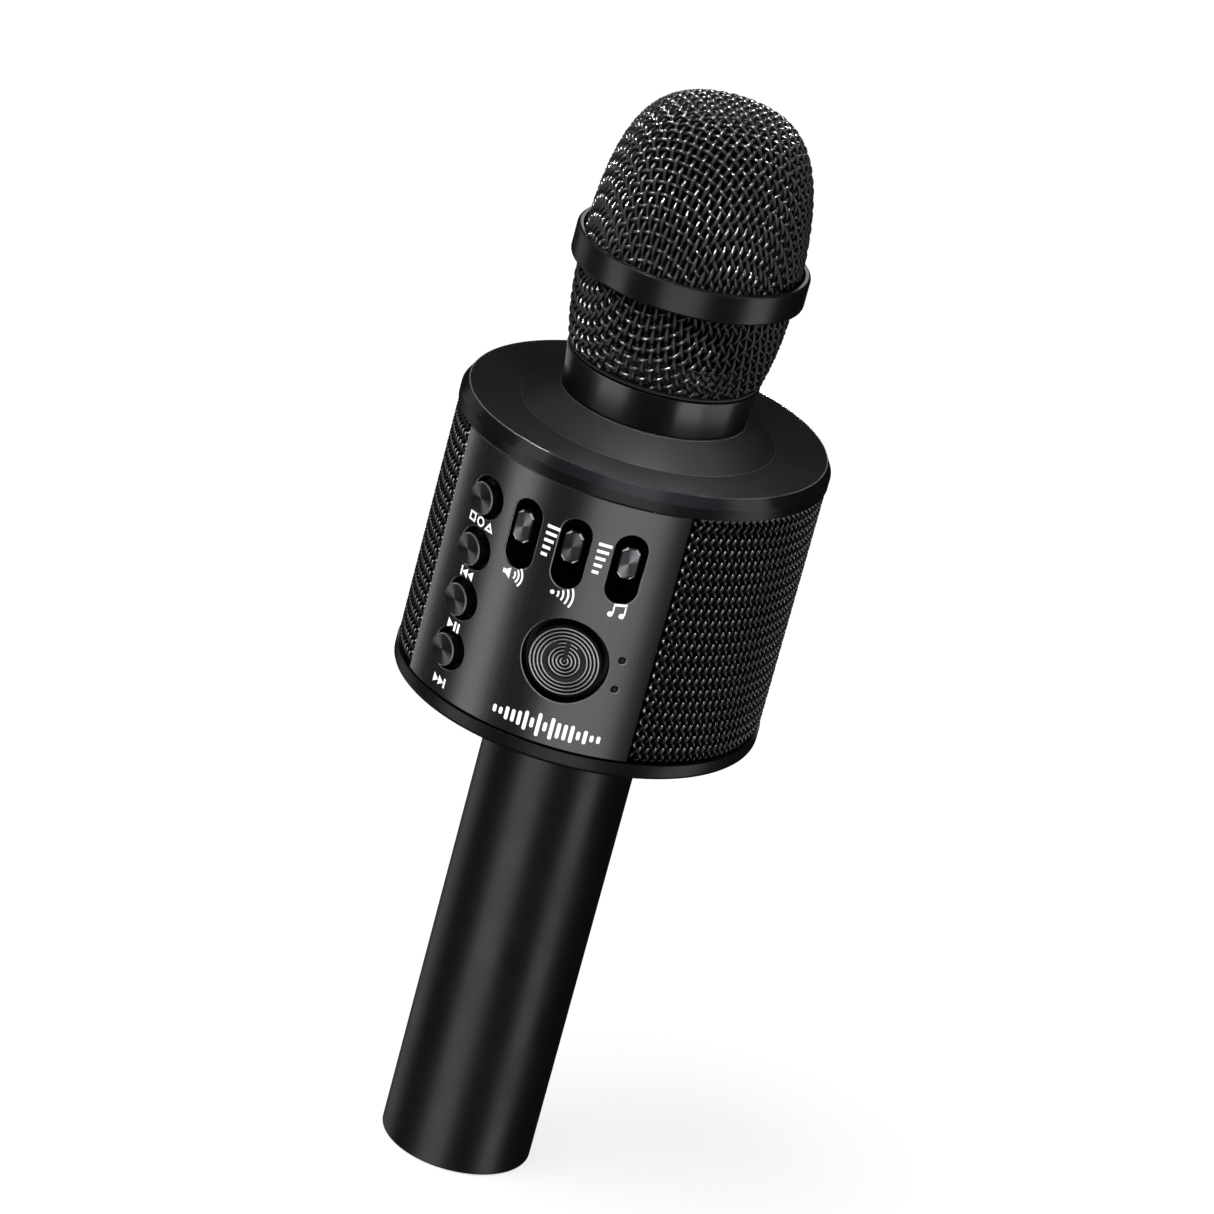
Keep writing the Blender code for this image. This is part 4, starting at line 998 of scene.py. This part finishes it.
def wire_tubes(name, lines, radius, sides, body, look, stands_for):
    """Round wires along lines of (points, surface normals), all in one mesh with closed ends."""
    around = np.arange(sides) / sides * tau
    cosine, sine = np.cos(around)[None, :, None], np.sin(around)[None, :, None]
    points, quads, caps = [], [], []
    used = 0
    for centre, normal in lines:
        count = len(centre)
        tangent = np.gradient(centre, axis=0)
        tangent /= np.linalg.norm(tangent, axis=1)[:, None]
        side = np.cross(tangent, normal)
        side /= np.linalg.norm(side, axis=1)[:, None]
        up = np.cross(side, tangent)
        ring = centre[:, None, :] + radius * (cosine * up[:, None, :] + sine * side[:, None, :])
        points += ring.reshape(-1, 3).tolist()
        index = used + np.arange(count * sides).reshape(count, sides)
        turn = np.roll(index, -1, axis=1)
        wall = np.stack([index[:-1], index[1:], turn[1:], turn[:-1]], -1)
        quads += wall.reshape(-1, 4).tolist()
        caps += [index[0].tolist(), index[-1][::-1].tolist()]
        used += count * sides
    mesh = bpy.data.meshes.new(name)
    mesh.from_pydata(points, [], quads + caps)
    return finish_piece(add_object(name, mesh), body, "mesh_black", look, stands_for, sharp=0)


def dome_radius(height):
    """Outer radius of the dome: a squared-off ellipse."""
    share = np.clip((height - DOME_MIDDLE) / (DOME_TOP - DOME_MIDDLE), 0, 1)
    return DOME_WIDEST * (1.0 - share ** DOME_POWER) ** (1.0 / DOME_POWER)


def dome_profile(low, inset, count):
    """Radii and heights of the dome from its crown down, set in from its outer face."""
    heights = low + (DOME_TOP - inset - low) * np.sin(np.linspace(pi / 2, 0, count))
    radii = np.maximum(dome_radius(heights + inset) - inset, 0)
    radii[0] = 0.0
    return radii, heights


def basket_radius(height):
    """Outer radius of the slightly bulging lower grille, straight behind the ring."""
    foot, head, bulge = 21.41, 23.85, 0.72
    t = np.clip((height - NECK_TOP) / (RING_LOW - NECK_TOP), 0, 1)
    return (foot + (head - foot) * t + 4 * bulge * t * (1 - t)) * MM


def slopes(radii, heights):
    """The direction of a profile at each of its points, as a share of radius and of height."""
    slope_r, slope_z = np.gradient(radii), np.gradient(heights)
    norm = np.hypot(slope_r, slope_z)
    return slope_r / norm, slope_z / norm


class PressedSheet:
    """Flat wire cloth pressed over a round form. It keeps its area, so cells stretch below."""

    def __init__(self, radii, heights, inner_reach, outward_sign):
        length = np.hypot(np.diff(radii), np.diff(heights))
        area = np.concatenate([[0], np.cumsum(0.5 * (radii[1:] + radii[:-1]) * length)])
        self.reach = np.sqrt(inner_reach ** 2 + 2 * area)
        slope_r, slope_z = slopes(radii, heights)
        self.profile = (radii, heights, -outward_sign * slope_z, outward_sign * slope_r)

    def at(self, u, v, lift):
        """Points of the formed sheet, lifted off it, and its normals there."""
        reach = np.hypot(u, v)
        safe = np.maximum(reach, 1e-9)
        radius, height, normal_r, normal_z = (
            np.interp(reach, self.reach, column) for column in self.profile)
        east, north = u / safe, v / safe
        normal = np.stack([normal_r * east, normal_r * north, normal_z], -1)
        point = np.stack([radius * east, radius * north, height], -1)
        return point + normal * lift[:, None], normal

    def wires(self, swap):
        """Wires in one direction of the weave, over and under their neighbours in turn."""
        inner, outer = self.reach[0], self.reach[-1]
        lines = []
        count = int(outer / GRILLE_PITCH)
        for i in range(-count, count + 1):
            u = i * GRILLE_PITCH
            far = sqrt(max(0.0, outer ** 2 - u ** 2))
            near = sqrt(max(0.0, inner ** 2 - u ** 2))
            whole = near < 0.5 * GRILLE_PITCH
            for start, end in [(-far, far)] if whole else [(near, far), (-far, -near)]:
                if end - start < 1.5 * GRILLE_PITCH:
                    continue
                v = np.linspace(start, end, max(6, int((end - start) / GRILLE_STEP)))
                lift = GRILLE_WAVE * np.cos(pi * v / GRILLE_PITCH + pi * i)
                flat = np.full_like(v, u)
                lines.append(self.at(v, flat, -lift) if swap else self.at(flat, v, lift))
        return lines


def build_grilles():
    """The dome and the basket, each woven of wires both ways."""
    inset, dome_lap, basket_lap, clear = GRILLE_WIRE + GRILLE_WAVE, *mm(3.9, 2.6, 0.1)
    radii, heights = dome_profile(RING_LOW + dome_lap, 0.0, 500)
    slope_r, slope_z = slopes(radii, heights)
    radii, heights = np.maximum(0, radii + inset * slope_z), heights - inset * slope_r
    radii[0] = 0.0
    dome = PressedSheet(radii, heights, 0.0, 1)
    heights = np.linspace(low_z("lower_grille") + clear, RING_LOW + basket_lap, 200)
    radii = basket_radius(heights) - inset
    basket = PressedSheet(radii, heights, float(radii[0]), -1)
    for name, sheet, node in (("dome", dome, "upper_grille"), ("basket", basket, "lower_grille")):
        for family, swap in (("warp", False), ("weft", True)):
            wire_tubes(f"{name}_{family}", sheet.wires(swap), GRILLE_WIRE, 6, "head",
                       "mesh_black", node)


def build_speaker_mesh():
    """Diagonal wire cloth round the barrel, its edges turned in behind the panel and the rims."""
    gap, clear, tuck, tuck_depth = mm(0.3, 0.2, 1.3, 0.8)
    start, end = (radians(angle) for angle in (CLOTH_START_ANGLE, 360 - CLOTH_START_ANGLE))
    centre_radius = SKIN_RADIUS - 2 * CLOTH_WIRE
    left, right = start * SKIN_RADIUS + gap, end * SKIN_RADIUS - gap
    low, high = SKIN_LOW + clear, SKIN_HIGH - clear
    height = np.linspace(low, high, int((high - low) / CLOTH_ROW * CLOTH_STEPS) + 1)
    for sign, family in ((1, "warp"), (-1, "weft")):
        lean = sign * 0.5 * CLOTH_ACROSS / CLOTH_ROW
        first = left - max(0.0, lean) * (high - low)
        last = right + max(0.0, -lean) * (high - low)
        wires = []
        for k in range(int((last - first) / CLOTH_ACROSS) + 1):
            arc = first + (k + 0.5) * CLOTH_ACROSS + lean * (height - low)
            inside = (arc > left) & (arc < right)
            if inside.sum() < 2 * CLOTH_STEPS:
                continue
            s, z = arc[inside], height[inside]
            near = np.min([s - left, right - s, z - low, high - z], axis=0)
            turned_in = tuck_depth * np.clip(1 - near / tuck, 0, 1) ** 2
            lift = sign * CLOTH_WIRE * np.cos(pi * (z - low) / CLOTH_ROW) - turned_in
            angle = s / SKIN_RADIUS
            normal = np.stack([np.sin(angle), -np.cos(angle), np.zeros_like(angle)], -1)
            centre = normal * (centre_radius + lift)[:, None]
            centre[:, 2] = z
            wires.append((centre, normal))
        third = len(wires) // 3 + 1
        for part, side in enumerate(("right", "rear", "left")):
            piece = wire_tubes(f"speaker_{family}_{side}", wires[part * third:(part + 1) * third],
                               CLOTH_WIRE, 5, "root", "cloth_wire cloth_edge", "speaker_mesh")
            wear_edge(piece, left, right, high)


def wear_edge(piece, left, right, high):
    """Painted highlight: a pale colour on the wire where the cloth folds in beside the panel and
    under the cap, for the glints along the folds.
    """
    fold, top_fold = mm(0.42, 0.40)

    def pick(face):
        x, y, z = face.center
        arc = atan2(x, -y) % tau * SKIN_RADIUS
        return int(arc < left + fold or arc > right - fold or z > high - top_fold)

    pick_looks(piece.data, pick)


# Head details


def build_head_fittings():
    inner, edge, ring_edge = mm(24.5, 0.2, 0.75)
    turned("ring_band", rounded([
        (inner, RING_HIGH, edge), (RING_RADIUS, RING_HIGH, ring_edge),
        (RING_RADIUS, RING_LOW, ring_edge), (inner, RING_LOW, edge),
    ], 6), 160, "head", "ring_black", None, "grille_ring")
    bore = 19.35 * MM
    for name, node, body, slot, edges in (
            ("seal", "sealing_ring", "seal", "rubber_black", (0.2, 0.2, 0.1, 0.1)),
            ("collar", "head_collar", "head", "ring_black", (0.2, 0.3, 0.3, 0.2))):
        low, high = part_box(node)
        places = [(high.x, high.z), (high.x, low.z), (bore, low.z), (bore, high.z)]
        corners = [(*place, fillet) for place, fillet in zip(places, mm(*edges))]
        turned(name, rounded(corners), 96, body, slot, None, node)


def build_foam():
    """The wind filter: an open cup of foam in the dome, and a sleeve of it in the basket."""
    gap, wall, lap, still = mm(1.9, 3.4, 0.1, 1.0)
    rough = 0.18
    low = RING_HIGH + 1.0 * MM
    basket_heights = np.linspace(low - lap, high_z("head_collar") + lap, 24)
    cup, sleeve = [], []
    for inset, order in ((gap, 1), (gap + wall, -1)):
        cup += list(zip(*dome_profile(low, inset, 40)))[::order]
        sleeve += list(zip(basket_radius(basket_heights) - inset, basket_heights))[::order]
    sleeve.append(sleeve[0])
    rng = np.random.default_rng(7)
    for name, outline, node in (("wind_filter", cup, "foam_filter"),
                                ("wind_filter_sleeve", sleeve, None)):
        mesh = turned(name, [(float(r), float(z)) for r, z in outline], 96, "head", "foam_black",
                      None, node, sharp=60).data
        co = np.zeros(len(mesh.vertices) * 3, np.float32)
        mesh.vertices.foreach_get("co", co)
        co = co.reshape(-1, 3)
        shift = rng.uniform(-rough, rough, (len(co), 1)).astype(np.float32) * MM
        length = np.linalg.norm(co[:, :2], axis=1, keepdims=True)
        co[:, :2] += np.where(length > still, co[:, :2] / np.maximum(length, 1e-9) * shift, 0)
        mesh.vertices.foreach_set("co", co.ravel())
        mesh.update()


# Studio


def build_floor():
    sheet = basic_mesh("floor", bmesh.ops.create_grid, x_segments=4, y_segments=4, size=FLOOR_SIZE)
    floor = add_object("floor", sheet, Matrix.Translation((0, 0, -FLOOR_DROP)))
    Look("floor", (0.90, 0.90, 0.90), 0.9).glow(FLOOR_GLOW)
    sheet.materials.append(LOOKS["floor"])
    floor.visible_glossy = floor.visible_diffuse = floor.visible_shadow = False


def build_world():
    """White to the camera. The microphone sees a dim room, darker below and to its right."""
    world = bpy.data.worlds.new("studio")
    bpy.context.scene.world = world
    world.use_nodes = True
    tree = world.node_tree
    tree.nodes.clear()
    direction = add_node(tree, "TexCoord").outputs["Generated"]
    height = add_node(tree, "SeparateXYZ", {"Vector": direction}).outputs["Z"]
    facing = add_node(tree, "VectorMath", {0: direction, 1: towards(DARK_BEARING)},
                      operation="DOT_PRODUCT").outputs["Value"]

    def ranged(value, from_low, from_high, to_low, to_high):
        return add_node(tree, "MapRange", {
            "Value": value, "From Min": from_low, "From Max": from_high,
            "To Min": to_low, "To Max": to_high}, interpolation_type="SMOOTHSTEP").outputs["Result"]

    below = ranged(facing, 0.0, 0.75, ROOM_BELOW, ROOM_DARK)
    level = ranged(facing, 0.0, 0.7, ROOM_ABOVE, ROOM_BEHIND)
    above = ranged(height, 0.35, 0.90, level, ROOM_TOP)
    room = add_node(tree, "Background", {"Strength": ranged(height, -0.10, 0.10, below, above)})
    white = add_node(tree, "Background", {"Color": WHITE})
    seen = add_node(tree, "LightPath").outputs["Is Camera Ray"]
    mix = add_node(tree, "MixShader", {0: seen, 1: room.outputs[0], 2: white.outputs[0]})
    add_node(tree, "OutputWorld", {"Surface": mix.outputs[0]})


def aim_light(name, energy, width, height, place, target, receivers, blockers=None):
    light = bpy.data.lights.new(name, "AREA")
    light.shape = "RECTANGLE"
    light.size, light.size_y = width, height
    light.energy = energy
    lamp = add_object(name, light)
    lamp.location = place
    lamp.rotation_euler = (place - target).to_track_quat("Z", "Y").to_euler()
    lamp.visible_camera = False
    lamp.light_linking.receiver_collection = receivers
    if blockers:
        lamp.light_linking.blocker_collection = blockers


def build_lights():
    """Strips that draw upright highlights on the satin walls, and lamps that glint on the wires."""
    groups = {name: bpy.data.collections.new(f"lit_{name}")
              for name in (*STRIPS, "cap", "line", "floor")}
    groups["cap"].objects.link(bpy.data.objects["barrel_cap"])
    groups["line"].objects.link(bpy.data.objects["cap_edge_bead"])
    for obj in bpy.context.scene.objects:
        if obj.type != "MESH":
            continue
        group = next((name for name, starts in GROUPS.items() if obj.name.startswith(starts)),
                     "barrel")
        groups["floor" if obj.name == "floor" else group].objects.link(obj)
        if not obj.name.startswith(NOT_LIT_FROM_BEHIND):
            groups["rear"].objects.link(obj)
    target = Vector((0, 0, 0.13))
    for group, strips in STRIPS.items():
        blockers = groups["neck"] if group == "neck" else None
        for index, (bearing, half_width, radiance) in enumerate(strips):
            width = 2 * STRIP_DISTANCE * tan(radians(half_width))
            aim_light(f"strip_{group}_{index}", radiance * pi * width * STRIP_HEIGHT, width,
                      STRIP_HEIGHT, target + towards(bearing) * STRIP_DISTANCE, target,
                      groups[group], blockers)
    bpy.data.objects["barrel_cap"].visible_glossy = False
    sun = bpy.data.lights.new("sun_on_floor", "SUN")
    sun.energy, sun.angle = FLOOR_SUN, radians(FLOOR_SUN_WIDTH)
    daylight = add_object("sun_on_floor", sun)
    sky = towards(FLOOR_SUN_BEARING, FLOOR_SUN_ELEVATION)
    daylight.rotation_euler = sky.to_track_quat("Z", "Y").to_euler()
    daylight.light_linking.receiver_collection = groups["floor"]
    target = Vector((0, 0, 0.20))
    for index, (group, bearing, elevation, distance, side, received) in enumerate(LAMPS):
        aim_light(f"lamp_{index}", received * pi * distance ** 2, side, side,
                  target + towards(bearing, elevation) * distance, target, groups[group])
    place, target = (towards(NEAR_CAP_BEARING) * radius + Vector((0, 0, height))
                     for radius, height in (mm(50, 211), mm(35, 183)))
    aim_light("lamp_near_cap", NEAR_CAP_POWER, NEAR_CAP_SIDE, NEAR_CAP_SIDE, place, target,
              groups["cap"])


def build_camera():
    """The viewpoint: from the right front and above, rolled so that the microphone leans."""
    roll, back = radians(CAMERA_ROLL), towards(CAMERA_BEARING, CAMERA_ELEVATION)
    right = towards(CAMERA_BEARING + 90)
    up = back.cross(right)
    side = cos(roll) * right + sin(roll) * up
    top = -sin(roll) * right + cos(roll) * up
    place = Vector((0, 0, CAMERA_AIM_HEIGHT)) + back * CAMERA_DISTANCE
    place += side * CAMERA_SLIDES[0] + top * CAMERA_SLIDES[1]
    camera = bpy.data.cameras.new("camera")
    camera.sensor_width, camera.lens, camera.clip_start = CAMERA_SENSOR, CAMERA_LENS, 0.05
    turn = Matrix((side, top, back)).transposed().to_4x4()
    bpy.context.scene.camera = add_object("camera", camera, Matrix.Translation(place) @ turn)


for build in (
    dress_cad_nodes, build_handle, build_lower_rim, build_screws, build_top_cap, build_neck,
    build_control_panel, build_print, build_push_buttons, build_power_button, build_knobs,
    build_grilles, build_speaker_mesh, build_head_fittings, build_foam, build_floor, build_world,
    build_lights, build_camera,
):
    build()
bpy.context.scene.view_settings.view_transform = "Standard"

bpy.context.view_layer.update()
